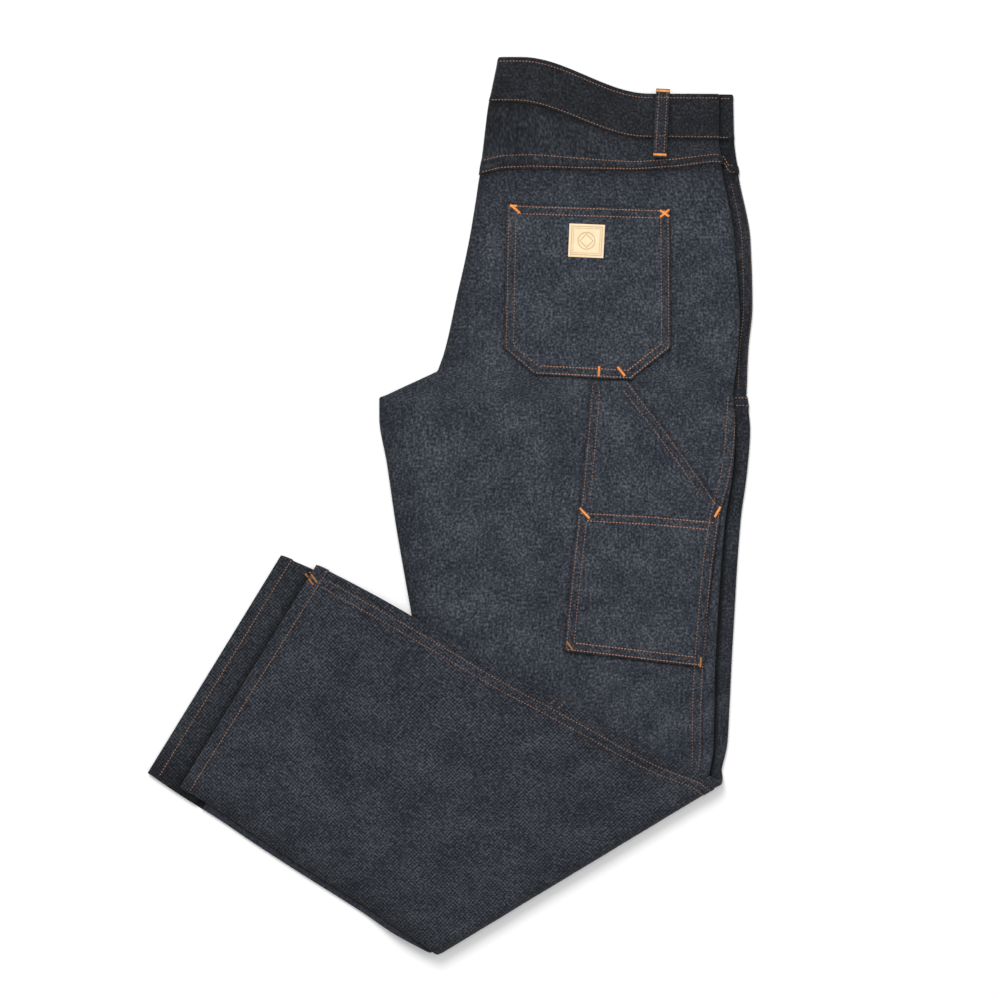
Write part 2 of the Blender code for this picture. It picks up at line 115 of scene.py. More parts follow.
LOWER = [
    Row("fold end", -23.5, -402.3, 236.2, -245.3, 0, 14.0, -11.0, -8.5, 0.5, 1.6, 6, 5),
    Row("shin a", -50.7, -387.8, 195.0, -228.5, 0, 13.0, -11.0, -8.5, 0, 2.3, 6, 7),
    Row("shin b", -89.6, -362.5, 130.3, -192.8, 0, 12.0, -11.0, -8.5, 0, 2.3, 6, 7),
    Row("panel end", -111.3, -348.9, 94.1, -173.3, 0, 10.0, -11.0, -8.0, 0, 2.3, 6, 7),
    Row("shin c", -133.0, -335.3, 57.9, -154.3, 0, 9.0, -11.0, -7.5, 0, 2.3, 6, 7),
    Row("shin d", -176.5, -307.2, -12.7, -112.7, 0, 7.0, -11.0, -7.0, 0, 2.3, 6, 7),
    Row("shin e", -208.5, -285.5, -66.1, -82.0, 0, 6.0, -11.0, -7.0, 0, 2.3, 6, 7),
    Row("left hem", -248.0, -260.6, -121.3, -54.3, 0, 4.5, -11.0, -5.0, 0, 2.3, 6, 7),
    Row("right hem", -274.2, -242.5, -151.0, -41.5, 0, 4.5, -11.0, -5.0, 0, 2.3, 6, 7),
]

# Patches on the right back: each is four sides, and a side may have corners of its own
BACK_POCKET = {
    "top": [(51.5, 272.8), (199.2, 268.2)],
    "right": [(199.2, 268.2), (200.0, 142.5), (163.8, 113.6)],
    "bottom": [(76.0, 118.1), (163.8, 113.6)],
    "left": [(51.5, 272.8), (48.9, 141.6), (76.0, 118.1)],
}
LABEL = {
    "top": [(108.1, 255.1), (140.3, 253.8)],
    "right": [(140.3, 253.8), (138.7, 223.6)],
    "bottom": [(106.8, 225.0), (138.7, 223.6)],
    "left": [(108.1, 255.1), (106.8, 225.0)],
}
SLANT_POCKET = {
    "top": [(127.5, 112.8), (161.0, 113.0)],
    "right": [(161.0, 113.0), (197.2, 65.6), (217.5, 37.6), (245.4, -3.0)],
    "bottom": [(117.7, -3.2), (245.4, -3.0)],
    "left": [(127.5, 112.8), (124.8, 76.0), (121.8, 42.0), (117.7, -3.2)],
}
TOOL_POCKET = {
    "top": [(115.8, -5.0), (180.0, -8.5), (244.0, -14.0)],
    "right": [(244.0, -14.0), (238.6, -49.0), (229.4, -122.0), (228.6, -146.6)],
    "bottom": [(103.2, -131.8), (165.0, -139.0), (228.6, -146.6)],
    "left": [(115.8, -5.0), (112.5, -37.0), (106.0, -100.0), (103.2, -131.8)],
}
# The upper pocket's cloth runs on beneath the lower one
SLANT_CLOTH = dict(SLANT_POCKET, bottom=[(116.9, -14.0), (180.0, -17.5), (242.6, -23.0)],
                   right=SLANT_POCKET["right"] + [(242.6, -23.0)],
                   left=SLANT_POCKET["left"] + [(116.9, -14.0)])
FRAME_INSETS = (2.3, 4.0)
RING_RADIUS = 7.6
LOZENGE_REACH = 6.0
PATCH_BASE = STACK + GAP
LABEL_BASE = PATCH_BASE + WALL + GAP

# Belt loop, over the waistband and the yoke
LOOP_TOP = Vector((192.8, 376.5))
LOOP_BOTTOM = Vector((189.6, 314.5))
LOOP_WIDTH = 11.8
LOOP_WALL = 1.6
LOOP_ARCH = 1.4

# How finely the cloth is cut
FINE = 3.0
FOLD_STEPS = 18
ROLL_COLUMNS = 7

CLOTH = 1.3
# How much painted light and shade a soft crease gets: its ridge is painted lighter and its trough darker, for
# each millimetre of height
CREASE_PAINTED_LIGHT_AND_SHADE = 0.10
# A cut that fills less of its rectangle than this is given by its mean width
NARROW_SHARE = 0.4

# Laps, seams and hems
LAP_UNDER = 5.0
SEAM_ALLOWANCE = 1.7
# How much further round its crease the right side seam runs at the top of the knee panel
SEAM_SHIFT_AT = ("knee panel", "upper thigh", "thigh", "knee a")
SEAM_SHIFT = (7.0, 3.3, 1.0, 0.0)
HIP_SEAM = AROUND_CREASE + 2.5
SEAM_LAP = 11.5
SEAM_RAISE = 0.55
HEM_FOLD = 11.5
HEM_RAISE = 0.8
BAND_PROUD = 0.6
# How dark the waistband is painted: painted shade, as the band curves away from the light
BAND_PAINTED_SHADE = 0.36
YOKE_ACROSS = (0.0, 0.08, 0.2, 0.4, 0.6, 0.76, 0.9, 0.945, 0.965, 1.0)
YOKE_ABOVE = (0.0, 4.2, 5.4, 4.2, 3.4, 5.8, 9.8, 9.0, 0.6, 0.0)

# Rows of thread
ROW_INSET = 2.0
ROW_SPACING = 6.5


def ease(t):
    t = np.clip(t, 0.0, 1.0)
    return t * t * (3 - 2 * t)


def bell(distance, width):
    """1 at no distance, falling softly to nearly 0 at the width."""
    return np.exp(-(distance / width * 1.8) ** 2)


def row_lengths(rows):
    """The distance along the stack at each row, the mean of its two ends."""
    lengths = [0.0]
    for above, below in zip(rows, rows[1:]):
        left = math.dist((above.left_x, above.left_y), (below.left_x, below.left_y))
        right = math.dist((above.right_x, above.right_y), (below.right_x, below.right_y))
        lengths.append(lengths[-1] + (left + right) / 2)
    return np.array(lengths)


def smooth_columns(at, table, w):
    """The rows' values at w, on a monotone cubic through each column."""
    step = np.diff(at)
    slope = np.diff(table, axis=0) / step[:, None]
    before, after = slope[:-1], slope[1:]
    same_way = before * after > 0
    total = np.where(same_way, before + after, 1.0)
    inner = np.where(same_way, 2 * before * after / total, 0.0)
    tangent = np.vstack([slope[:1], inner, slope[-1:]])
    i = int(np.clip(np.searchsorted(at, w) - 1, 0, len(step) - 1))
    t = (w - at[i]) / step[i]
    return ((1 + 2 * t) * (1 - t) ** 2 * table[i] + t * (1 - t) ** 2 * step[i] * tangent[i]
            + t * t * (3 - 2 * t) * table[i + 1] - t * t * (1 - t) * step[i] * tangent[i + 1])


UPPER_AT = row_lengths(UPPER)
LOWER_AT = UPPER_AT[-1] + FOLD_RUN + row_lengths(LOWER)
UPPER_TABLE = np.array([row[1:] for row in UPPER], dtype=float)
LOWER_TABLE = np.array([row[1:] for row in LOWER], dtype=float)
ROW_AT = {row.name: float(at) for row, at in zip(UPPER + LOWER, np.concatenate([UPPER_AT, LOWER_AT]))}

Section = namedtuple("Section", "w left across width turn values")
FOLD_LEFT = np.array((UPPER[-1].left_x, UPPER[-1].left_y))
FOLD_ALONG = np.array((UPPER[-1].right_x, UPPER[-1].right_y)) - FOLD_LEFT
FOLD_ALONG /= np.linalg.norm(FOLD_ALONG)
FOLD_OUT = np.array((FOLD_ALONG[1], -FOLD_ALONG[0]))


def section(w):
    """The section at distance w along the stack, and how far it has turned round the knee fold."""
    if w <= UPPER_AT[-1]:
        values, turn = smooth_columns(UPPER_AT, UPPER_TABLE, w), 0.0
    elif w >= LOWER_AT[0]:
        values, turn = smooth_columns(LOWER_AT, LOWER_TABLE, w), math.pi
    else:
        t = (w - UPPER_AT[-1]) / FOLD_RUN
        values, turn = (1 - t) * UPPER_TABLE[-1] + t * LOWER_TABLE[0], math.pi * t
    row = Row("", *values)
    left = np.array((row.left_x, row.left_y))
    span = np.array((row.right_x, row.right_y)) - left
    width = float(np.linalg.norm(span))
    return Section(w, left, span / width, width, turn, row)


def drop(points):
    """How far the folded legs come down beside the upper legs, until they lie on the floor."""
    edge = np.interp(-points[:, 1], -UPPER_TABLE[:, 1], UPPER_TABLE[:, 0])
    inward = -(points - FOLD_LEFT) @ FOLD_OUT
    outside = ease((edge - DROP_START - points[:, 0]) / DROP_LENGTH)
    return (2 * FOLD_AXIS - STACK) * outside * ease(inward / DROP_FADE)


def place(s, q, h):
    """Points q from the section's left end and h deep in the stack."""
    base = s.left + np.outer(q, s.across)
    base[:, 1] += s.values.rise * (1 - ease((q / s.width - RISE_START) / RISE_SPAN))
    radius = FOLD_AXIS - h
    height = FOLD_AXIS - radius * math.cos(s.turn)
    base = base + np.outer(radius * math.sin(s.turn), FOLD_OUT)
    if s.turn > 3:
        height = height - drop(base)
    return np.column_stack([base, height])


def crease_q(s, leg):
    """Where a leg's crease ends on the right."""
    return s.width - (s.values.step if leg == "right" else 0.0)


def seam_of(s, leg):
    """Where a back ends at its side seam, a little past the row of thread that the section gives."""
    if leg == "left":
        return s.values.seam_left + SEAM_ALLOWANCE
    shift = np.interp(s.w, [ROW_AT[name] for name in SEAM_SHIFT_AT], SEAM_SHIFT)
    return s.values.seam_right + SEAM_ALLOWANCE + float(shift)


def round_crease(s, leg, a):
    """The points at distances a along a leg's outer face."""
    centre = crease_q(s, leg) - CREASE
    angle = np.clip(a, 0.0, AROUND_CREASE) / CREASE
    q = centre + np.minimum(a, 0.0) + CREASE * np.sin(angle) - np.maximum(a - AROUND_CREASE, 0.0)
    depth = CREASE * (1 - np.cos(angle))
    return q, (STACK - depth if leg == "right" else depth)


def roll_line(s, leg):
    """The rolled inner edge of a leg's back, from its end to the flat."""
    row = s.values
    start = 0.0 if leg == "right" else row.tuck
    width = row.tuck + row.roll_width - start
    roll = row.roll_right if leg == "right" else row.roll_left
    angles = np.radians(np.linspace(0, 90, ROLL_COLUMNS, endpoint=False))
    q = start + width * (1 - np.cos(angles))
    depth = roll * (1 - np.sin(angles))
    return q, (STACK - depth if leg == "right" else depth)


def join_lines(*lines):
    return tuple(np.concatenate(parts) for parts in zip(*lines))


def with_across(s, leg, q, h):
    """Adds how far each point of a back is past the crease line, which is negative."""
    return q - (crease_q(s, leg) - CREASE), q, h


def back_line(leg, columns=90):
    """A leg's back, from its inner edge to its side seam."""
    def line(s):
        rolled = with_across(s, leg, *roll_line(s, leg))
        start = s.values.tuck + s.values.roll_width - (crease_q(s, leg) - CREASE)
        end = seam_of(s, leg)
        a = np.concatenate([np.linspace(start, end - 4, columns - 8, endpoint=False),
                            np.linspace(end - 4, end, 8)])
        return join_lines(rolled, (a, *round_crease(s, leg, a)))
    return line


def wrap_line(leg):
    """A back past its crease line at the hip, where it wraps round to the side seam."""
    def line(s):
        a = np.linspace(0.0, HIP_SEAM, 16)
        return (a, *round_crease(s, leg, a))
    return line


def inner_end(s, leg):
    """How far round a leg its front piece reaches: a tuck under the stack, or to the hem's far side."""
    centre = crease_q(s, leg) - CREASE
    tucked = crease_q(s, "right") - TUCK_UNDER
    whole = (0.0 if leg == "right" else s.values.tuck) + EDGE_INSET
    near_hem = float(ease((s.w - (ROW_AT["left hem"] - HEM_DEPTH - HEM_BLEND)) / HEM_BLEND))
    return AROUND_CREASE + centre - (tucked + (whole - tucked) * near_hem)


def front_line(leg, seam_columns=4, crease_columns=12, under_columns=8):
    """A leg's front where it shows: under the back's edge, round the crease and under the stack."""
    def line(s):
        start = seam_of(s, leg) - LAP_UNDER
        turn = max(start + 1.0, 0.0)
        a = np.concatenate([
            np.linspace(start, turn, seam_columns, endpoint=False),
            np.linspace(turn, AROUND_CREASE, crease_columns, endpoint=False),
            np.linspace(AROUND_CREASE, inner_end(s, leg), under_columns)])
        return (a, *round_crease(s, leg, a))
    return line


def hip_front_line(s):
    """The left front beside its side seam, on the strip that shows past the right leg."""
    a = np.linspace(HIP_SEAM - LAP_UNDER, inner_end(s, "left"), 10)
    return (a, *round_crease(s, "left", a))


def band_line(s):
    """The waistband's outer face: right front, right back, round the centre back, left back, left front."""
    half = BAND_WALL / 2
    levels = [half + (BAND_STACK - BAND_WALL) * k / 3 for k in range(4)]
    turn = (levels[1] - levels[0]) / 2
    middle = BAND_STACK / 2
    right_q = crease_q(s, "right") - turn - half
    left_q = crease_q(s, "left") - turn - half
    roll_q = BAND_ROLL + half
    halves = np.linspace(-math.pi / 2, math.pi / 2, 9)
    flat = np.linspace(0, 1, 60)[1:-1]
    start = s.values.roll_width
    q = np.concatenate([
        FRONT_EDGE + (right_q - FRONT_EDGE) * flat, right_q + turn * np.cos(halves),
        right_q + (start - right_q) * flat, roll_q - BAND_ROLL * np.cos(halves),
        start + (left_q - start) * flat, left_q + turn * np.cos(halves),
        left_q + (FRONT_EDGE - left_q) * flat])
    rise = turn * np.sin(halves)
    h = np.concatenate([
        0 * flat + levels[2], levels[2] + turn + rise,
        0 * flat + levels[3], middle - (levels[3] - middle) * np.sin(halves),
        0 * flat + levels[0], levels[0] + turn + rise,
        0 * flat + levels[1]])
    return q - crease_q(s, "left"), q, h


def along(start, end, step=FINE, close_to=()):
    """Distances along the stack, close enough for the knee fold, with more beside the given ones."""
    found = [start, end]
    for low, high in ((start, min(end, UPPER_AT[-1])), (max(start, LOWER_AT[0]), end)):
        if high > low:
            found += list(np.linspace(low, high, max(2, round((high - low) / step))))
    found += [w for w in np.linspace(UPPER_AT[-1], LOWER_AT[0], FOLD_STEPS + 1) if start < w < end]
    for w in close_to:
        found += [w - 0.7, w + 0.7]
    found = sorted(w for w in found if start <= w <= end)
    kept = [found[0]]
    for w in found[1:]:
        if w - kept[-1] > 0.4:
            kept.append(w)
    return kept


# Soft creases, in the page's millimetres: ridges are above 0, troughs below
Fold = namedtuple("Fold", "x0 y0 x1 y1 bow width height")
UPPER_FOLDS = [
    Fold(60, 100, -40, 60, 8, 22, -0.9),
    Fold(20, 122, 95, 60, -10, 20, 0.7),
    Fold(-40, 75, 10, -60, 10, 26, 0.8),
    Fold(0, 20, 60, -90, 8, 24, -0.7),
    Fold(100, -130, 112, -235, 3, 9, 0.9),
    Fold(150, -150, 120, -240, 5, 16, -0.6),
    Fold(238, 62, 241, 20, 2, 9, 0.8),
    Fold(215, 95, 235, 30, -4, 10, -0.5),
    Fold(30, 290, 36, 180, 6, 14, 0.8),
    Fold(222, 290, 228, 160, -8, 18, 0.7),
    Fold(212, 260, 216, 120, 4, 12, -0.6),
    Fold(10, 175, 60, 110, 6, 18, -0.7),
]
LOWER_FOLDS = [
    Fold(60, -190, 215, -262, 8, 12, -1.3),
    Fold(45, -212, 130, -262, -8, 18, -0.9),
    Fold(-40, -160, 80, -232, 6, 20, 0.8),
    Fold(-110, -110, 0, -180, -10, 22, -0.7),
    Fold(-190, -230, -60, -320, 8, 24, 0.9),
    Fold(-150, -180, -80, -250, 10, 20, -0.6),
    Fold(-20, -280, 90, -330, -8, 22, 0.7),
    Fold(-60, -350, 20, -380, 5, 10, -0.7),
    Fold(-232, -170, -190, -250, -8, 16, 0.6),
]


def fold_relief(x, y, folds):
    """The height of soft creases, each along a bowed line that fades at both ends."""
    height = np.zeros_like(x)
    for fold in folds:
        start = np.array((fold.x0, fold.y0))
        run = np.array((fold.x1, fold.y1)) - start
        length = float(np.linalg.norm(run))
        run = run / length
        t = ((x - start[0]) * run[0] + (y - start[1]) * run[1]) / length
        side = (y - start[1]) * run[0] - (x - start[0]) * run[1]
        bowed = side - fold.bow * 4 * t * (1 - t)
        height += fold.height * bell(bowed, fold.width) * bell(t - 0.5, 0.85)
    return height


def unevenness(x, y, seed):
    """A slow, slight unevenness, a sum of a few waves across each other."""
    waves = np.sin(x / 21 + seed + 1.3 * np.sin(y / 37 + seed))
    waves += np.sin(y / 27 + 2 * seed + 1.1 * np.sin(x / 31 - seed))
    waves += 0.6 * np.sin((x + y) / 11 + 3 * seed)
    return 0.16 * waves


def relief(points, s, leg, a):
    """How far the cloth stands out of its plain form, along its normal."""
    x, y = points[:, 0], points[:, 1]
    on_top = (leg == "right") == (s.turn < math.pi / 2)
    if s.turn < math.pi / 2:
        height = fold_relief(x, y, UPPER_FOLDS) + unevenness(x, y, 1.0)
    else:
        height = fold_relief(x, y, LOWER_FOLDS) + unevenness(x, y, 2.0)
    height = height * (1 - 0.75 * np.exp(-((s.turn - math.pi / 2) / 0.9) ** 2))
    if not on_top:
        height = -0.35 * np.abs(height)
    return height


def yoke_edge(s, q):
    """How far above its plain seam line the yoke's curved lower edge runs."""
    return np.interp(q / s.width, YOKE_ACROSS, YOKE_ABOVE)


def back_edges(s, leg, a):
    """The felled side seam's ridge and the hem's second layer on a back."""
    height = np.zeros_like(a)
    if s.w > ROW_AT["knee panel"]:
        inside = seam_of(s, leg) - a
        height += SEAM_RAISE * ease((SEAM_LAP - inside) / 2.5)
        height += 0.22 * np.sin(s.w / 1.55 + 2 * math.sin(s.w / 29)) * bell(inside - 5, 9)
    return height + hem_edges(s, leg, a)


def hem_edges(s, leg, a):
    hem = ROW_AT[leg + " hem"]
    inside = hem - s.w
    if inside > 30:
        return 0 * a
    height = HEM_RAISE * ease((HEM_FOLD + 1 - inside) / 1.5) - 0.5 * ease((1.5 - inside) / 1.5)
    return height + 0.3 * np.sin(a / 1.7 + 2 * np.sin(a / 23)) * bell(inside - 8, 10)


def front_edges(s, leg, a):
    """A front goes down under the back's edge, and stands a little puffed beside it."""
    inside = a - seam_of(s, leg)
    height = -1.15 * ease((2.0 - inside) / 2.5) + 0.25 * bell(inside - 7, 7)
    return height + hem_edges(s, leg, a)


def panel_edges(s, leg, a):
    """The knee panel lies on the front, so its two ends are a layer higher."""
    inside = np.minimum(s.w - ROW_AT["knee panel"], ROW_AT["panel end"] - s.w)
    height = front_edges(s, leg, a)
    return height + 0.9 * ease((13 - inside) / 3) * ease((inside + 0.5) / 1.2)


def grid_normals(grid):
    """The outward normals of a grid of points, from its neighbours."""
    down = np.gradient(grid, axis=0)
    right = np.gradient(grid, axis=1)
    normals = np.cross(down, right)
    lengths = np.linalg.norm(normals, axis=2, keepdims=True)
    return normals / np.maximum(lengths, 1e-9)


def grid_mesh(name, grid, grain, flip, shade=None):
    """A mesh of quads on a grid of points, which keeps each point's place on the cloth and its painted shade,
    or on the label its print.
    """
    rows, columns = grid.shape[:2]
    index = np.arange(rows * columns).reshape(rows, columns)
    corners = [index[:-1, :-1], index[1:, :-1], index[1:, 1:], index[:-1, 1:]]
    faces = np.stack(corners[::-1] if flip else corners, axis=2).reshape(-1, 4)
    data = bpy.data.meshes.new(name)
    data.from_pydata((grid.reshape(-1, 3) * MM).tolist(), [], faces.tolist())
    data.shade_smooth()
    place_on_cloth = data.uv_layers.new(name="grain")
    loops = np.empty(len(data.loops), dtype=np.int32)
    data.loops.foreach_get("vertex_index", loops)
    place_on_cloth.data.foreach_set("uv", (grain.reshape(-1, 2)[loops] * MM).ravel())
    marks = data.attributes.new("shade", "FLOAT", "POINT")
    marks.data.foreach_set("value", (np.ones(rows * columns) if shade is None else shade.ravel()))
    return data


def add_piece(name, data, material, slot, *nodes):
    """A piece that moves with the garment and stands for the given solids."""
    data.materials.append(material)
    piece = bpy.data.objects.new(name, data)
    bpy.context.scene.collection.objects.link(piece)
    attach(piece, "root")
    if nodes:
        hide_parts(*nodes)
    return piece


def cut_size(grid):
    """The longest row and column of a grid of points and its area, in metres."""
    across = np.linalg.norm(np.diff(grid, axis=1), axis=2).sum(axis=1).max() * MM
    down = np.linalg.norm(np.diff(grid, axis=0), axis=2).sum(axis=0).max() * MM
    side, fall = grid[:-1, 1:] - grid[:-1, :-1], grid[1:, :-1] - grid[:-1, :-1]
    back_side, back_fall = grid[1:, :-1] - grid[1:, 1:], grid[:-1, 1:] - grid[1:, 1:]
    doubled = sum(np.linalg.norm(np.cross(*pair), axis=2).sum()
                  for pair in ((side, fall), (back_side, back_fall)))
    return float(across), float(down), float(doubled / 2 * MM * MM)


def declare_sheet(piece, grid, held, *rests_on):
    """Works out the flat cut of a piece and returns the piece; the cut is not kept. One that is narrow nearly
    all along is given by its mean width.
    """
    width, length, area = cut_size(grid)
    if area < NARROW_SHARE * width * length:
        width = area / length
    return piece


def thicken(piece, wall, offset=-1.0):
    solid = piece.modifiers.new("wall", "SOLIDIFY")
    solid.thickness = wall * MM
    solid.offset = offset
    return piece


def shell(name, node, distances, line, leg, material, edges, wall=CLOTH, lift=0.0, seed=0.0, ends=None):
    """A panel of cloth along the stack, with its relief, on the form of its solid.

    ends, where given, turns a distance and the places across it into a distance for each place.
    """
    grid, grain, raised, shade = [], [], [], []
    for w in distances:
        s = section(w)
        a, q, h = line(s)
        points = place(s, q, h)
        if ends is not None:
            points[:, 1] += ends(s, q)
        grid.append(points)
        grain.append(np.column_stack([a + seed, np.full_like(a, w)]))
        soft = relief(points, s, leg, a)
        raised.append(soft + edges(s, leg, a) + lift)
        # The point's painted shade, with painted light and shade on its soft creases.
        shade.append(painted_shade_of(points, s, leg, a, q) * (1 + CREASE_PAINTED_LIGHT_AND_SHADE * soft))
    grid, grain, raised = np.array(grid), np.array(grain), np.array(raised)
    plain = grid
    normals = grid_normals(grid)
    flip = leg == "left"
    if flip:
        normals = -normals
    grid = grid + normals * raised[:, :, None]
    grid[:, :, 2] = np.maximum(grid[:, :, 2], 0.0)
    data = grid_mesh(name, grid, grain, flip, np.array(shade))
    piece = thicken(add_piece(name, data, material, "denim", node), wall)
    return declare_sheet(piece, plain, "folded", "inner_layers")


def painted_shade_of(points, s, leg, a, q):
    """Painted shade, multiplied into the cloth's colour: darker round the crease and the knee fold, towards
    the inner edges, over the folded lower leg, in painted shadows beside a higher layer, and by the waist.
    """
    upper = s.turn < math.pi / 2
    # Painted shade round the crease, and round the knee fold.
    shade = 1 - 0.20 * bell(a - AROUND_CREASE / 2, 9)
    shade *= 1 - 0.42 * math.exp(-((s.turn - math.pi / 2) / 0.75) ** 2)
    if not upper:
        # The folded lower leg is painted darker overall, with painted shade along its inner edge.
        edge = q - (0.0 if leg == "right" else s.values.tuck)
        shade *= 0.75 * (1 - 0.34 * bell(edge, 26))
        if leg == "right":
            # The right leg is painted darker here as the lower layer, with a painted shadow beside the left
            # hem's edge.
            past = s.w - ROW_AT["left hem"]
            shade *= 0.80 * (1 - 0.62 * float(bell(max(past - 1.0, 0.0), 9)))
        return shade
    # Painted shade towards the inner edge and towards the waist, and painted shadows under the waistband's
    # and the yoke's lower edges.
    shade *= 1 - 0.24 * bell(q, 42) - 0.20 * bell(q, 12)
    shade *= 1 - 0.48 * float(ease(1 - (s.w - 50) / 60))
    shade *= 1 - 0.55 * float(bell(s.w - ROW_AT["waist seam"] - 3.2, 4))
    shade *= 1 - 0.50 * bell(s.w - ROW_AT["yoke seam"] + yoke_edge(s, q) - 1.6, 3.6)
    if leg == "left":
        # The left leg's strip past the right crease is painted dark as shade, with a painted shadow in the
        # groove beside the crease.
        past = q - crease_q(s, "right")
        low = float(ease((s.w - ROW_AT["upper thigh"]) / 40))
        groove = (0.55 + 0.35 * low) * bell(past - 1.5, 5)
        shade *= np.where(a > 1.0, (0.56 + 0.10 * low) * (1 - groove), 1.0)
    else:
        shade *= outline_shade(points[:, :2])
    return shade


def outline_shade(places):
    """A thin painted shadow on the back along the outside of each patch."""
    shade = np.ones(len(places))
    for sides in (BACK_POCKET, SLANT_POCKET, TOOL_POCKET):
        shade *= 1 - 0.55 * bell(edge_distance(places, outline_of(sides)), 2.6)
    return shade


def no_edges(s, leg, a):
    return np.zeros_like(a)


# Materials


class Nodes:
    """Short ways to add a material's nodes."""

    def __init__(self, name):
        self.material = bpy.data.materials.new(name)
        self.material.use_nodes = True
        self.tree = self.material.node_tree
        self.shader = self.tree.nodes["Principled BSDF"]

    def add(self, kind, inputs=(), **settings):
        node = self.tree.nodes.new(kind)
        for key, value in settings.items():
            setattr(node, key, value)
        for key, value in dict(inputs).items():
            self.set(node.inputs[key], value)
        return node

    def set(self, socket, value):
        if isinstance(value, bpy.types.NodeSocket):
            self.tree.links.new(value, socket)
        else:
            socket.default_value = value

    def math(self, operation, *values):
        node = self.add("ShaderNodeMath", operation=operation)
        for socket, value in zip(node.inputs, values):
            self.set(socket, value)
        return node.outputs[0]

    def noise(self, place, scale, detail=2.0):
        node = self.add("ShaderNodeTexNoise", {"Vector": place, "Scale": scale, "Detail": detail})
        return node.outputs["Fac"]

    def stretched(self, place, x, y, z=1.0, turn=0.0):
        node = self.add("ShaderNodeMapping", {"Vector": place, "Scale": (x, y, z), "Rotation": (0, 0, turn)})
        return node.outputs[0]

    def ramp(self, value, stops):
        node = self.add("ShaderNodeValToRGB", {"Fac": value})
        elements = node.color_ramp.elements
        while len(elements) < len(stops):
            elements.new(0.5)
        for element, (position, colour) in zip(elements, stops):
            element.position = position
            element.color = (*colour, 1)
        return node.outputs[0]

    def mix(self, factor, first, second, blend="MIX"):
        node = self.add("ShaderNodeMix", data_type="RGBA", blend_type=blend)
        colours = [socket for socket in node.inputs if socket.type == "RGBA"]
        self.set(node.inputs[0], factor)
        self.set(colours[0], first)
        self.set(colours[1], second)
        return next(socket for socket in node.outputs if socket.type == "RGBA")


TWILL_PITCH = 0.0011
YARN_PITCH = 0.00055
# The coarse grid that the weave shows on the folded legs, along both diagonals of the page
GRID_PITCH = 0.00362
GRID_LEVEL = 0.14
# Dark warp, the cloth's middle tone, and pale weft
INDIGO = [
    (0.13, (0.0062, 0.0080, 0.0132)),
    (0.52, (0.0252, 0.0295, 0.0395)),
    (0.97, (0.0870, 0.0930, 0.1060)),
]
LABEL_CREAM = [(0.3, (0.72, 0.53, 0.32)), (0.7, (0.86, 0.68, 0.45))]
LABEL_PRINT = (0.20, 0.105, 0.05, 1)
# Thread colours, from the dull to the bright end of their unevenness
COPPER = ((0.20, 0.095, 0.055), (0.42, 0.19, 0.095))
ORANGE = ((0.72, 0.22, 0.03), (0.95, 0.38, 0.07))


def denim(name):
    """Raw indigo denim: dark warp, pale flecks of weft along the twill, and slubs along the warp."""
    n = Nodes(name)
    cloth = n.add("ShaderNodeUVMap", uv_map="grain").outputs[0]
    split = n.add("ShaderNodeSeparateXYZ", {"Vector": cloth})
    across, down = split.outputs[0], split.outputs[1]

    diagonal = n.math("ADD", n.math("MULTIPLY", across, 1.0), n.math("MULTIPLY", down, 0.62))
    twill = n.math("SINE", n.math("MULTIPLY", diagonal, 2 * math.pi / TWILL_PITCH))
    yarns = n.math("SINE", n.math("MULTIPLY", across, 2 * math.pi / YARN_PITCH))
    weave = n.math("ADD", n.math("MULTIPLY", twill, 0.32), n.math("MULTIPLY", yarns, 0.12))

    flecks = n.noise(n.stretched(cloth, 0.86, 0.78), 560.0, 1.6)
    streaks = n.noise(n.stretched(cloth, 1.0, 0.22), 420.0, 1.0)
    slubs = n.noise(n.stretched(cloth, 1.0, 0.45), 190.0, 2.0)
    mottle = n.noise(cloth, 30.0, 4.0)

    level = n.math("MULTIPLY", flecks, 1.60)
    for share, amount in ((streaks, 0.30), (slubs, 0.45), (mottle, 0.55), (weave, 0.16)):
        level = n.math("ADD", level, n.math("MULTIPLY", share, amount))
    in_space = n.add("ShaderNodeSeparateXYZ", {"Vector": n.add("ShaderNodeTexCoord").outputs["Object"]})
    x, y = in_space.outputs[0], in_space.outputs[1]
    weft = n.math("SINE", n.math("MULTIPLY", n.math("ADD", x, y), 2 * math.pi / GRID_PITCH))
    warp = n.math("SINE", n.math("MULTIPLY", n.math("SUBTRACT", x, y), 2 * math.pi / GRID_PITCH))
    folded = n.add("ShaderNodeMapRange", {"Value": down, "From Min": UPPER_AT[-1] * MM,
                                          "From Max": LOWER_AT[0] * MM, "To Min": 0.0, "To Max": GRID_LEVEL})
    grid = n.math("MULTIPLY", n.math("ADD", weft, warp), folded.outputs[0])
    level = n.math("ADD", n.math("SUBTRACT", level, 0.95), grid)
    colour = n.ramp(level, INDIGO)
    # The colour is multiplied by the shade attribute, which holds the painted shade and the creases' painted
    # light and shade.
    shade = n.add("ShaderNodeAttribute", attribute_name="shade").outputs["Fac"]
    shaded = n.mix(1.0, colour, shade, "MULTIPLY")
    n.set(n.shader.inputs["Base Color"], shaded)

    height = n.math("ADD", n.math("MULTIPLY", weave, 0.5), n.math("MULTIPLY", flecks, 0.9))
    bump = n.add("ShaderNodeBump", {"Height": height, "Strength": 0.45, "Distance": 0.00035})
    n.set(n.shader.inputs["Normal"], bump.outputs[0])
    n.set(n.shader.inputs["Roughness"], 0.92)
    n.set(n.shader.inputs["Specular IOR Level"], 0.22)
    n.set(n.shader.inputs["Sheen Weight"], 0.05)
    n.set(n.shader.inputs["Sheen Roughness"], 0.5)
    return n.material


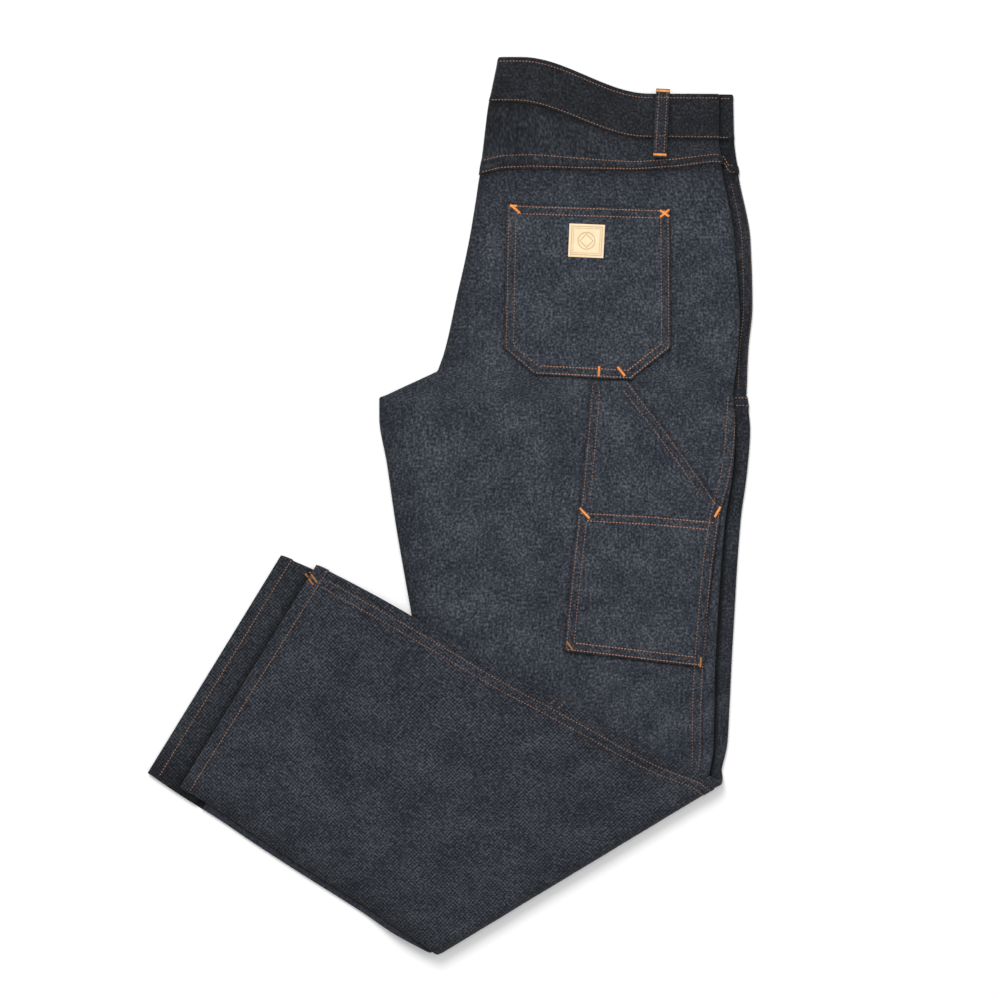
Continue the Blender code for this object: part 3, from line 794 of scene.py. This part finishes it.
def plain_denim(name):
    """Dark denim for the hidden layers, placed in space because they have no cloth of their own."""
    n = Nodes(name)
    place_in_space = n.add("ShaderNodeTexCoord").outputs["Object"]
    flecks = n.noise(place_in_space, 600.0, 2.0)
    colour = n.ramp(flecks, [(0.3, (0.008, 0.009, 0.014)), (0.7, (0.035, 0.038, 0.048))])
    n.set(n.shader.inputs["Base Color"], colour)
    bump = n.add("ShaderNodeBump", {"Height": flecks, "Strength": 0.4, "Distance": 0.0004})
    n.set(n.shader.inputs["Normal"], bump.outputs[0])
    n.set(n.shader.inputs["Roughness"], 0.95)
    n.set(n.shader.inputs["Specular IOR Level"], 0.2)
    return n.material


def dress_shells(cloth):
    """The panels of the garment, each for its solid."""
    at = ROW_AT
    seams = [at["left hem"] - HEM_FOLD, at["right hem"] - HEM_FOLD]
    for leg, seed in (("right", 0.0), ("left", 500.0)):
        run = along(at["yoke seam"] - 16, at[leg + " hem"], close_to=seams)
        shell("cloth_back_" + leg, "back_" + leg, run, back_line(leg), leg, cloth, back_edges, seed=seed)
        wrap = along(at["yoke seam"] - 8, at["above panel"])
        shell("cloth_back_wrap_" + leg, "back_" + leg, wrap, wrap_line(leg), leg, cloth, no_edges, seed=seed)
        yoke = along(at["waist seam"] - 6, at["yoke seam"])
        shell("cloth_yoke_" + leg, "yoke_" + leg, yoke, yoke_line(leg), leg, cloth, yoke_edges,
              lift=0.45, seed=seed + 900, ends=yoke_ends)
    hip = along(at["waist seam"] - 6, at["knee panel"] + 2)
    shell("cloth_front_left_hip", "front_left_hip", hip, hip_front_line, "left", cloth, no_edges,
          lift=-0.5, seed=1900.0)
    panel = along(at["knee panel"], at["panel end"], close_to=[at["panel end"] - 11, at["knee panel"] + 11])
    for leg in ("right", "left"):
        shell("cloth_knee_panel_" + leg, "knee_panel_" + leg, panel, front_line(leg), leg, cloth,
              panel_edges, seed=2300.0)
        shin = along(at["panel end"] - 6, at[leg + " hem"], close_to=seams)
        shell("cloth_front_shin_" + leg, "front_" + leg + "_shin", shin, front_line(leg), leg, cloth,
              front_edges, seed=2300.0)


def yoke_line(leg):
    """A yoke runs from the inner edge round the crease to the side seam."""
    def line(s):
        back, wrap = back_line(leg)(s), wrap_line(leg)(s)
        past = wrap[0] > seam_of(s, leg) + 0.2
        return join_lines(back, tuple(values[past] for values in wrap))
    return line


def yoke_ends(s, q):
    """The yoke's lower edge follows its curve, and its upper edge stays."""
    share = (s.w - ROW_AT["waist seam"]) / (ROW_AT["yoke seam"] - ROW_AT["waist seam"])
    return yoke_edge(s, q) * float(ease(share))


def yoke_edges(s, leg, a):
    """The yoke's turned lower edge lies two layers thick over the back."""
    inside = ROW_AT["yoke seam"] - s.w
    height = 0.75 * float(ease((10 - inside) / 3)) - 0.3 * float(ease((1.0 - inside) / 1.0))
    return height + 0.15 * np.sin(a / 1.6) * bell(inside - 5, 8)


def dress_waistband(cloth):
    distances = along(0.0, ROW_AT["waist seam"] + 2.2, close_to=[1.0, ROW_AT["waist seam"] + 1.5])
    grid, grain, shade, raised = [], [], [], []
    end = distances[-1]
    for w in distances:
        s = section(w)
        a, q, h = band_line(s)
        inside = min(w, end - w)
        grid.append(place(s, q, h))
        grain.append(np.column_stack([np.full_like(a, w) + 2800, a]))
        swell = BAND_PROUD - 0.7 * float(ease((1.2 - inside) / 1.2)) + 0.3 * float(ease((6 - inside) / 4))
        raised.append(swell + 0.12 * np.sin(a / 1.7) * bell(inside - 5, 9))
        # Painted shade on the band: darker towards the inner edge, a painted shadow in the groove past the
        # right crease, and darker along its top and bottom edges.
        past = q - crease_q(s, "right")
        level = BAND_PAINTED_SHADE * (1 - 0.22 * bell(q, 20)) * (1 - 0.60 * bell(past - 1.5, 5))
        shade.append(level * (1 - 0.55 * float(ease((1.8 - inside) / 1.8))))
    plain = grid = np.array(grid)
    normals = grid_normals(grid)
    grid = grid - normals * np.array(raised)[:, :, None]
    grid[:, :, 2] = np.maximum(grid[:, :, 2], BAND_WALL / 2)
    name = "cloth_waistband"
    data = grid_mesh(name, grid, np.array(grain), flip=True, shade=np.array(shade))
    piece = thicken(add_piece(name, data, cloth, "denim", "waistband"), BAND_WALL, 0.0)
    return declare_sheet(piece, plain, "folded", "cloth_yoke_right", "inner_layers")


def resample(line, count):
    """count points along a side, with its own corners among them."""
    line = [np.array(p, dtype=float) for p in line]
    lengths = [float(np.linalg.norm(b - a)) for a, b in zip(line, line[1:])]
    total = sum(lengths)
    steps = [max(1, round(length / total * (count - 1))) for length in lengths]
    steps[-1] += count - 1 - sum(steps)
    points = [line[0]]
    for a, b, n in zip(line, line[1:], steps):
        points += [a + (b - a) * k / n for k in range(1, n + 1)]
    return np.array(points)


def coons(sides, step):
    """A grid of points between four sides."""
    def length(line):
        return sum(math.dist(a, b) for a, b in zip(line, line[1:]))
    columns = max(4, round(max(length(sides["top"]), length(sides["bottom"])) / step)) + 1
    rows = max(4, round(max(length(sides["left"]), length(sides["right"])) / step)) + 1
    top, bottom = resample(sides["top"], columns), resample(sides["bottom"], columns)
    left, right = resample(sides["left"], rows), resample(sides["right"], rows)
    u = np.linspace(0, 1, columns)[None, :, None]
    v = np.linspace(0, 1, rows)[:, None, None]
    grid = (1 - v) * top[None] + v * bottom[None] + (1 - u) * left[:, None] + u * right[:, None]
    corners = ((1 - u) * (1 - v) * top[0] + u * (1 - v) * top[-1]
               + (1 - u) * v * bottom[0] + u * v * bottom[-1])
    return grid - corners


def outline_of(sides):
    """The patch's corners in order."""
    return (list(sides["top"]) + list(sides["right"])[1:] + list(reversed(sides["bottom"]))[1:]
            + list(reversed(sides["left"]))[1:-1])


def edge_distance(points, outline):
    """How far each point lies from the outline."""
    nearest = np.full(points.shape[:-1], 1e9)
    for start, end in zip(outline, outline[1:] + outline[:1]):
        start, run = np.array(start), np.array(end) - np.array(start)
        t = np.clip(((points - start) @ run) / (run @ run), 0, 1)
        gap = np.linalg.norm(points - start - t[..., None] * run, axis=-1)
        nearest = np.minimum(nearest, gap)
    return nearest


def dress_patch(name, node, sides, base, wall, cloth, slot, step, hem, puff, seed, under, tone=None):
    """A patch sewn on the right back: turned edges, a slight puff, and the creases beneath it."""
    flat = coons(sides, step)
    inside = edge_distance(flat, outline_of(sides))
    x, y = flat[..., 0], flat[..., 1]
    height = base + wall + fold_relief(x, y, UPPER_FOLDS) + unevenness(x, y, 1.0)
    height += hem * (ease((9.5 - inside) / 2.0) - 1.1 * ease((1.2 - inside) / 1.2))
    height += puff * ease((inside - 9) / 30)
    height += 0.12 * np.sin((x + y) / 1.5) * bell(inside - 5, 7)
    grid = np.dstack([x, y, height])
    grain = np.dstack([x + seed, -y])
    # Painted shade: darker along the puckers by the rows and at the turned edge, a little lighter elsewhere,
    # with painted light and shade on the creases.
    shade = 1.03 - 0.16 * bell(inside - 5, 6) - 0.25 * bell(inside, 1.5)
    shade *= 1 + CREASE_PAINTED_LIGHT_AND_SHADE * fold_relief(x, y, UPPER_FOLDS)
    data = grid_mesh(name, grid, grain, flip=False, shade=shade if tone is None else tone(flat, inside))
    piece = thicken(add_piece(name, data, cloth, slot, node), wall)
    return declare_sheet(piece, np.dstack([x, y, 0 * x]), "laid", *under)


def dress_patches(cloth, leather):
    back = ["cloth_back_right"]
    dress_patch("cloth_back_pocket", "back_pocket", BACK_POCKET, PATCH_BASE, CLOTH, cloth, "denim",
                2.0, 0.7, 0.5, 3300.0, back)
    dress_patch("cloth_tool_pocket_upper", "tool_pocket_upper", SLANT_CLOTH, PATCH_BASE, CLOTH, cloth,
                "denim", 2.0, 0.5, 0.3, 3600.0, back)
    dress_patch("cloth_tool_pocket_lower", "tool_pocket_lower", TOOL_POCKET, PATCH_BASE + 0.9, CLOTH,
                cloth, "denim", 2.0, 0.6, 0.4, 3900.0, [*back, "cloth_tool_pocket_upper"])
    dress_patch("label_patch", "pocket_label", LABEL, LABEL_BASE, 1.0, leather, "label",
                0.4, 0.2, 0.2, 0.0, ["cloth_back_pocket"], label_tone)


def label_tone(places, inside):
    """1 on the bare label and 0 on its printed lines: a double frame, and a lozenge in a ring."""
    middle = sum(np.array(corner) for corner in outline_of(LABEL)) / 4
    off = places - middle
    around = np.linalg.norm(off, axis=-1)
    lozenge = np.abs(off[..., 0]) + np.abs(off[..., 1])
    lines = 0.62 * bell(inside - FRAME_INSETS[0], 0.8) + 0.50 * bell(inside - FRAME_INSETS[1], 0.7)
    lines += 0.62 * bell(around - RING_RADIUS, 0.9) + 0.62 * bell(lozenge - LOZENGE_REACH, 1.1)
    return 1 - np.minimum(lines, 1.0)


def label_material():
    """Pale leather with a fine grain, and brown where lines are printed."""
    n = Nodes("pale_label")
    cloth = n.add("ShaderNodeUVMap", uv_map="grain").outputs[0]
    grain = n.noise(cloth, 900.0, 3.0)
    cloudy = n.noise(cloth, 160.0, 2.0)
    level = n.math("ADD", n.math("MULTIPLY", grain, 0.5), n.math("MULTIPLY", cloudy, 0.5))
    colour = n.ramp(level, LABEL_CREAM)
    bare = n.add("ShaderNodeAttribute", attribute_name="shade").outputs["Fac"]
    n.set(n.shader.inputs["Base Color"], n.mix(bare, LABEL_PRINT, colour))
    bump = n.add("ShaderNodeBump", {"Height": grain, "Strength": 0.3, "Distance": 0.0003})
    n.set(n.shader.inputs["Normal"], bump.outputs[0])
    n.set(n.shader.inputs["Roughness"], 0.7)
    return n.material


def dress_belt_loop(cloth):
    """The loop stands clear of the band in the middle and is sewn down at its ends."""
    run = LOOP_BOTTOM - LOOP_TOP
    side = Vector((-run.y, run.x)).normalized()
    rows, grain = [], []
    for t in np.linspace(0, 1, 40):
        centre = LOOP_TOP + run * t
        height = BAND_STACK + GAP + BAND_PROUD + LOOP_WALL + LOOP_ARCH * math.sin(math.pi * t)
        row, marks = [], []
        for k in np.linspace(-1, 1, 11):
            point = centre + side * (k * LOOP_WIDTH / 2)
            row.append((point.x, point.y, height - 0.5 * abs(k) ** 6))
            marks.append((k * LOOP_WIDTH / 2 + 4200, t * run.length))
        rows.append(row)
        grain.append(marks)
    rows = np.array(rows)
    # The loop is painted darker all over, as painted shade like the waistband beneath it.
    data = grid_mesh("cloth_belt_loop", rows, np.array(grain), flip=True, shade=np.full(rows.shape[:2], 0.62))
    piece = thicken(add_piece("cloth_belt_loop", data, cloth, "denim", "belt_loop"), LOOP_WALL)
    return declare_sheet(piece, rows, "laid", "cloth_waistband", "cloth_yoke_right")


def plain_material(name, colour, roughness):
    n = Nodes(name)
    n.set(n.shader.inputs["Base Color"], (*colour, 1))
    n.set(n.shader.inputs["Roughness"], roughness)
    return n.material


# Thread

Thread = namedtuple("Thread", "pitch length width height shade")
TOPSTITCH = Thread(2.9, 2.45, 1.05, 0.75, 1.0)
YOKE_ROW = Thread(2.9, 2.45, 0.95, 0.70, 0.72)
WAIST_ROW = Thread(2.9, 2.45, 0.85, 0.65, 0.72)
SIDE_ROW = Thread(2.9, 2.15, 0.90, 0.65, 0.66)
HEM_ROW = Thread(2.9, 2.45, 0.90, 0.70, 0.70)
# DIM_ROW's thread is painted dark as painted shade, for the rows on the left leg's shaded strip beside the
# right crease.
DIM_ROW = Thread(2.9, 2.10, 0.85, 0.60, 0.40)
SATIN = Thread(0.62, 3.0, 0.66, 0.9, 1.0)
DIM_BAR = Thread(0.62, 2.2, 0.66, 0.8, 0.5)
REACH = 4.0
DEPTH = 40.0
STITCH_RINGS = 5
STITCH_SIDES = 6


class Surface:
    """The finished cloth, on which thread is laid."""

    def __init__(self, pieces):
        points, faces = [], []
        graph = bpy.context.evaluated_depsgraph_get()
        for piece in pieces:
            shape = piece.evaluated_get(graph)
            mesh = shape.to_mesh()
            first = len(points)
            points += [piece.matrix_world @ v.co / MM for v in mesh.vertices]
            faces += [[first + i for i in face.vertices] for face in mesh.polygons]
            shape.to_mesh_clear()
        self.tree = BVHTree.FromPolygons(points, faces)

    def under(self, point, normal):
        """The first cloth met from outside, along the normal, or nothing."""
        return self.tree.ray_cast(point + normal * REACH, -normal, DEPTH)[0]


def dense(knots, step=1.5):
    """Points close together along straight runs between knots."""
    found = [np.array(knots[0], dtype=float)]
    for start, end in zip(knots, knots[1:]):
        start, run = np.array(start, dtype=float), np.array(end, dtype=float) - np.array(start)
        count = max(1, math.ceil(float(np.linalg.norm(run)) / step))
        found += [start + run * k / count for k in range(1, count + 1)]
    return found


def page_path(knots, height=2 * FOLD_AXIS, normal=(0, 0, 1)):
    """A path of thread given on the page, laid on what is seen from above."""
    return [(Vector((x, y, height)), Vector(normal)) for x, y in dense(knots)]


def leg_path(leg, knots):
    """A path of thread given by distances along and round a leg."""
    def at(w, a):
        s = section(w)
        q, h = round_crease(s, leg, np.array([a]))
        return Vector(place(s, q, h)[0])
    path = []
    for w, a in dense(knots):
        down = at(w + 0.5, a) - at(w - 0.5, a)
        right = at(w, a + 0.3) - at(w, a - 0.3)
        normal = down.cross(right).normalized()
        path.append((at(w, a), normal if leg == "right" else -normal))
    return path


class Sewing:
    """Stitches gathered into one mesh."""

    def __init__(self, surface):
        self.surface = surface
        self.points = []
        self.faces = []
        self.shades = []

    def row(self, path, thread=TOPSTITCH):
        """Even stitches along a path."""
        gaps = [(b[0] - a[0]).length for a, b in zip(path, path[1:])]
        far = np.concatenate([[0.0], np.cumsum(gaps)])
        places = np.array([p for p, _ in path])
        normals = np.array([n for _, n in path])
        count = int(far[-1] // thread.pitch)
        for k in range(count):
            start = thread.pitch * k + (thread.pitch - thread.length) / 2
            at = start + thread.length * np.linspace(0, 1, STITCH_RINGS)
            line = [Vector([np.interp(x, far, places[:, i]) for i in range(3)]) for x in at]
            out = [Vector([np.interp(x, far, normals[:, i]) for i in range(3)]).normalized() for x in at]
            self.stitch(line, out, thread)

    def bar(self, start, end, thread=SATIN):
        """A dense bar of short stitches, laid across the line from start to end on the page."""
        start, end = Vector((*start, 2 * FOLD_AXIS)), Vector((*end, 2 * FOLD_AXIS))
        run = end - start
        side = Vector((-run.y, run.x, 0)).normalized()
        count = max(3, int(run.length / thread.pitch))
        out = [Vector((0, 0, 1))] * STITCH_RINGS
        for k in range(count + 1):
            centre = start + run * (k / count)
            reach = np.linspace(-0.5, 0.5, STITCH_RINGS) * thread.length
            self.stitch([centre + side * float(x) for x in reach], out, thread)

    def stitch(self, line, out, thread):
        """One stitch: a short rounded thread whose ends go down into the cloth."""
        laid = []
        for point, normal in zip(line, out):
            hit = self.surface.under(point, normal)
            if hit is None:
                return
            laid.append(hit)
        if max((b - a).length for a, b in zip(laid, laid[1:])) > thread.length:
            return
        first = len(self.points)
        run = (laid[-1] - laid[0]).normalized()
        last = STITCH_RINGS - 1
        for i, (point, normal) in enumerate(zip(laid, out)):
            t = 2 * i / last - 1
            side = normal.cross(run).normalized()
            rise = thread.height * (0.55 * (1 - t ** 4) - 0.35)
            if i in (0, last):
                self.points.append(point + normal * rise)
                continue
            for k in range(STITCH_SIDES):
                angle = 2 * math.pi * k / STITCH_SIDES
                spread = side * (math.cos(angle) * thread.width / 2)
                stand = normal * (rise + math.sin(angle) * thread.height / 2)
                self.points.append(point + spread + stand)
        rings = [[first + 1 + STITCH_SIDES * i + k for k in range(STITCH_SIDES)] for i in range(last - 1)]
        tip = first + 1 + STITCH_SIDES * (last - 1)
        self.shades += [thread.shade] * (len(self.points) - first)
        for k in range(STITCH_SIDES):
            j = (k + 1) % STITCH_SIDES
            self.faces.append((first, rings[0][j], rings[0][k]))
            for near, far in zip(rings, rings[1:]):
                self.faces.append((near[k], near[j], far[j], far[k]))
            self.faces.append((tip, rings[-1][k], rings[-1][j]))

    def finish(self, name, material):
        data = bpy.data.meshes.new(name)
        data.from_pydata([(p.x * MM, p.y * MM, max(p.z, 0.0) * MM) for p in self.points], [], self.faces)
        data.shade_smooth()
        marks = data.attributes.new("shade", "FLOAT", "POINT")
        marks.data.foreach_set("value", self.shades)
        return add_piece(name, data, material, "thread")


def inset(outline, distance):
    """The outline moved in by a distance."""
    points = [np.array(p, dtype=float) for p in outline]
    middle = sum(points) / len(points)
    moved = []
    for before, point, after in zip(points[-1:] + points[:-1], points, points[1:] + points[:1]):
        lines = []
        for start, end in ((before, point), (point, after)):
            run = (end - start) / np.linalg.norm(end - start)
            normal = np.array((-run[1], run[0]))
            if normal @ (middle - start) < 0:
                normal = -normal
            lines.append((normal, normal @ start + distance))
        moved.append(np.linalg.solve(np.array([l[0] for l in lines]), np.array([l[1] for l in lines])))
    return moved


def thread_material(name, low, high):
    """Twisted cotton thread, uneven in colour along its rows."""
    n = Nodes(name)
    place_in_space = n.add("ShaderNodeTexCoord").outputs["Object"]
    uneven = n.math("ADD", n.math("MULTIPLY", n.noise(place_in_space, 240.0, 1.0), 0.5),
                    n.math("MULTIPLY", n.noise(place_in_space, 55.0, 2.0), 0.5))
    colour = n.ramp(uneven, [(0.36, low), (0.64, high)])
    shade = n.add("ShaderNodeAttribute", attribute_name="shade").outputs["Fac"]
    n.set(n.shader.inputs["Base Color"], n.mix(1.0, colour, shade, "MULTIPLY"))
    twist = n.noise(place_in_space, 2600.0, 1.0)
    bump = n.add("ShaderNodeBump", {"Height": twist, "Strength": 0.5, "Distance": 0.0002})
    n.set(n.shader.inputs["Normal"], bump.outputs[0])
    n.set(n.shader.inputs["Roughness"], 0.6)
    n.set(n.shader.inputs["Sheen Weight"], 0.1)
    return n.material


def sew(surface):
    """Every row of topstitching and every bar tack."""
    copper = thread_material("copper_thread", *COPPER)
    for rows in (sew_waist, sew_pockets, sew_seams, sew_hems):
        rows(surface).finish(rows.__name__.replace("sew_", "stitching_"), copper)
    sew_bars(surface).finish("bar_tacks", thread_material("orange_thread", *ORANGE))


def across_page(w, start=1.0, end=1.0, rise=None):
    """A line across the whole stack at one distance along it, on the page."""
    s = section(w)
    q = np.arange(start, s.width - end, 2.0)
    points = place(s, q, np.full_like(q, STACK))
    if rise is not None:
        points[:, 1] += rise(s, q)
    return [tuple(p[:2]) for p in points]


def sew_waist(surface):
    """The waistband's two rows, the yoke's two, and the belt loop's two."""
    sewing = Sewing(surface)
    at = ROW_AT
    for w in (3.4, at["waist seam"] + 0.2):
        sewing.row(page_path(across_page(w)), WAIST_ROW)
    for gap in (ROW_INSET, ROW_INSET + ROW_SPACING):
        sewing.row(page_path(across_page(at["yoke seam"] - gap, rise=yoke_edge)), YOKE_ROW)
    run = LOOP_BOTTOM - LOOP_TOP
    side = Vector((-run.y, run.x)).normalized() * (LOOP_WIDTH / 2 - 2.2)
    for sign in (-1, 1):
        ends = [LOOP_TOP + side * sign + run * 0.04, LOOP_BOTTOM + side * sign - run * 0.04]
        sewing.row(page_path(ends), SIDE_ROW)
    return sewing


def sew_pockets(surface):
    """Two rows inside the edges of each pocket."""
    sewing = Sewing(surface)
    for gap in (ROW_INSET, ROW_INSET + ROW_SPACING):
        loop = inset(outline_of(BACK_POCKET), gap)
        sewing.row(page_path(loop[:2]))
        sewing.row(page_path(loop[1:3]), SIDE_ROW)
        sewing.row(page_path(loop[2:5]))
        sewing.row(page_path(loop[4:] + loop[:1]), SIDE_ROW)
        slant = inset(outline_of(SLANT_POCKET), gap)
        sewing.row(page_path(slant[1:5]), SIDE_ROW)
        sewing.row(page_path(slant[5:] + slant[:1]), SIDE_ROW)
        lower = inset(outline_of(TOOL_POCKET), gap)
        sewing.row(page_path(lower[:3]))
        sewing.row(page_path(lower[5:8]))
        sewing.row(page_path(lower[7:] + lower[:1]), SIDE_ROW)
    return sewing


def sew_seams(surface):
    """The side seams' two rows on each back, and the knee panels' ends."""
    sewing = Sewing(surface)
    at = ROW_AT
    for leg in ("right", "left"):
        run = np.arange(at["knee panel" if leg == "right" else "fork tip"], at[leg + " hem"] - HEM_FOLD, 12.0)
        for gap in (ROW_INSET, ROW_INSET + ROW_SPACING + 1):
            sewing.row(leg_path(leg, [(w, seam_of(section(w), leg) - gap) for w in run]), SIDE_ROW)
    for a in (AROUND_CREASE - 1.5, AROUND_CREASE + 5.5):
        hip = np.arange(at["yoke seam"] + 8, at["knee panel"] - 4, 12.0)
        sewing.row(leg_path("left", [(w, a) for w in hip]), DIM_ROW)
    for w in (at["knee panel"] + ROW_INSET, at["knee panel"] + ROW_INSET + ROW_SPACING):
        sewing.row(leg_path("left", [(w, 2.0), (w, AROUND_CREASE + 11)]), SIDE_ROW)
    for w in (at["panel end"] - ROW_INSET, at["panel end"] - ROW_INSET - ROW_SPACING):
        sewing.row(leg_path("left", [(w, seam_of(section(w), "left") + 1.5), (w, AROUND_CREASE)]), SIDE_ROW)
    return sewing


def sew_hems(surface):
    """One row round each leg opening."""
    sewing = Sewing(surface)
    for leg in ("right", "left"):
        w = ROW_AT[leg + " hem"] - HEM_FOLD + 1
        s = section(w)
        start = -(crease_q(s, leg) - CREASE) + (0.0 if leg == "right" else s.values.tuck) + 1.5
        end = inner_end(s, leg) - 2 if leg == "right" else AROUND_CREASE
        sewing.row(leg_path(leg, [(w, start), (w, end)]), HEM_ROW)
    return sewing


def sew_bars(surface):
    """Bar tacks at the belt loop's ends and the pockets' corners."""
    sewing = Sewing(surface)
    for start, end in BAR_TACKS:
        sewing.bar(start, end)
    for start, end in DIM_BARS:
        sewing.bar(start, end, DIM_BAR)
    return sewing


# Where each bar tack starts and ends on the page
BAR_TACKS = [
    ((187.0, 375.2), (198.6, 374.6)),
    ((184.2, 317.4), (195.4, 316.9)),
    ((54.8, 272.0), (63.0, 264.8)),
    ((54.6, 271.0), (60.2, 271.2)),
    ((198.2, 267.6), (190.4, 261.0)),
    ((190.2, 267.0), (198.0, 261.6)),
    ((135.0, 125.6), (134.6, 117.0)),
    ((151.8, 125.2), (158.0, 117.4)),
    ((117.6, -2.6), (126.0, -11.4)),
    ((244.6, -1.4), (239.6, -10.2)),
]
DIM_BARS = [
    ((106.0, -123.5), (111.0, -130.5)),
    ((227.0, -137.5), (226.6, -146.0)),
    ((-131.0, -62.0), (-124.0, -71.5)),
    ((-127.0, -60.5), (-120.5, -69.5)),
]


# The stage
VIEW_CENTRE = (0.04525, 0.00498)
VIEW_WIDTH = 0.905
CAMERA_HEIGHT = 4.0
SENSOR = 36.0
Lamp = namedtuple("Lamp", "name place size energy")
LAMPS = [Lamp("key", (-0.6, 1.6, 2.4), 1.6, 62), Lamp("top", (0.3, -0.2, 3.0), 2.2, 34)]
ROOM_STRENGTH = 0.45
FLOOR_REACH = 6
FLOOR_COLOUR = (0.90, 0.90, 0.90)


def add_camera():
    data = bpy.data.cameras.new("overhead")
    data.sensor_width = SENSOR
    data.lens = SENSOR * (CAMERA_HEIGHT - STACK * MM) / VIEW_WIDTH
    camera = bpy.data.objects.new("overhead", data)
    camera.location = (*VIEW_CENTRE, CAMERA_HEIGHT)
    bpy.context.scene.collection.objects.link(camera)
    bpy.context.scene.camera = camera


def add_lamp(lamp):
    """A soft round light that points at the middle of the view."""
    data = bpy.data.lights.new(lamp.name, "AREA")
    data.shape = "DISK"
    data.size = lamp.size
    data.energy = lamp.energy
    light = bpy.data.objects.new(lamp.name, data)
    light.location = lamp.place
    towards = Vector((*VIEW_CENTRE, 0)) - Vector(lamp.place)
    light.rotation_euler = towards.to_track_quat("-Z", "Y").to_euler()
    bpy.context.scene.collection.objects.link(light)


def add_stage():
    """A plain pale floor, soft lamps and an evenly lit room."""
    data = bpy.data.meshes.new("floor")
    corners = [(x * FLOOR_REACH, y * FLOOR_REACH, 0) for x, y in ((-1, -1), (1, -1), (1, 1), (-1, 1))]
    data.from_pydata(corners, [], [(0, 1, 2, 3)])
    data.materials.append(plain_material("pale_floor", FLOOR_COLOUR, 0.8))
    floor = bpy.data.objects.new("floor", data)
    bpy.context.scene.collection.objects.link(floor)
    floor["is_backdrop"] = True
    for lamp in LAMPS:
        add_lamp(lamp)
    world = bpy.data.worlds.new("soft_room")
    world.use_nodes = True
    background = world.node_tree.nodes["Background"]
    background.inputs["Color"].default_value = (1, 1, 1, 1)
    background.inputs["Strength"].default_value = ROOM_STRENGTH
    bpy.context.scene.world = world
    bpy.context.scene.view_settings.view_transform = "Standard"


add_camera()
add_stage()
DENIM = denim("raw_denim")
dress_shells(DENIM)
dress_waistband(DENIM)
dress_patches(DENIM, label_material())
dress_belt_loop(DENIM)
bpy.context.view_layer.update()
sew(Surface([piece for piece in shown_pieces() if piece.name.startswith(("cloth", "label"))]))
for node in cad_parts.values():
    if not node.hide_render:
        node.data.materials.clear()
        node.data.materials.append(plain_denim("hidden_denim"))
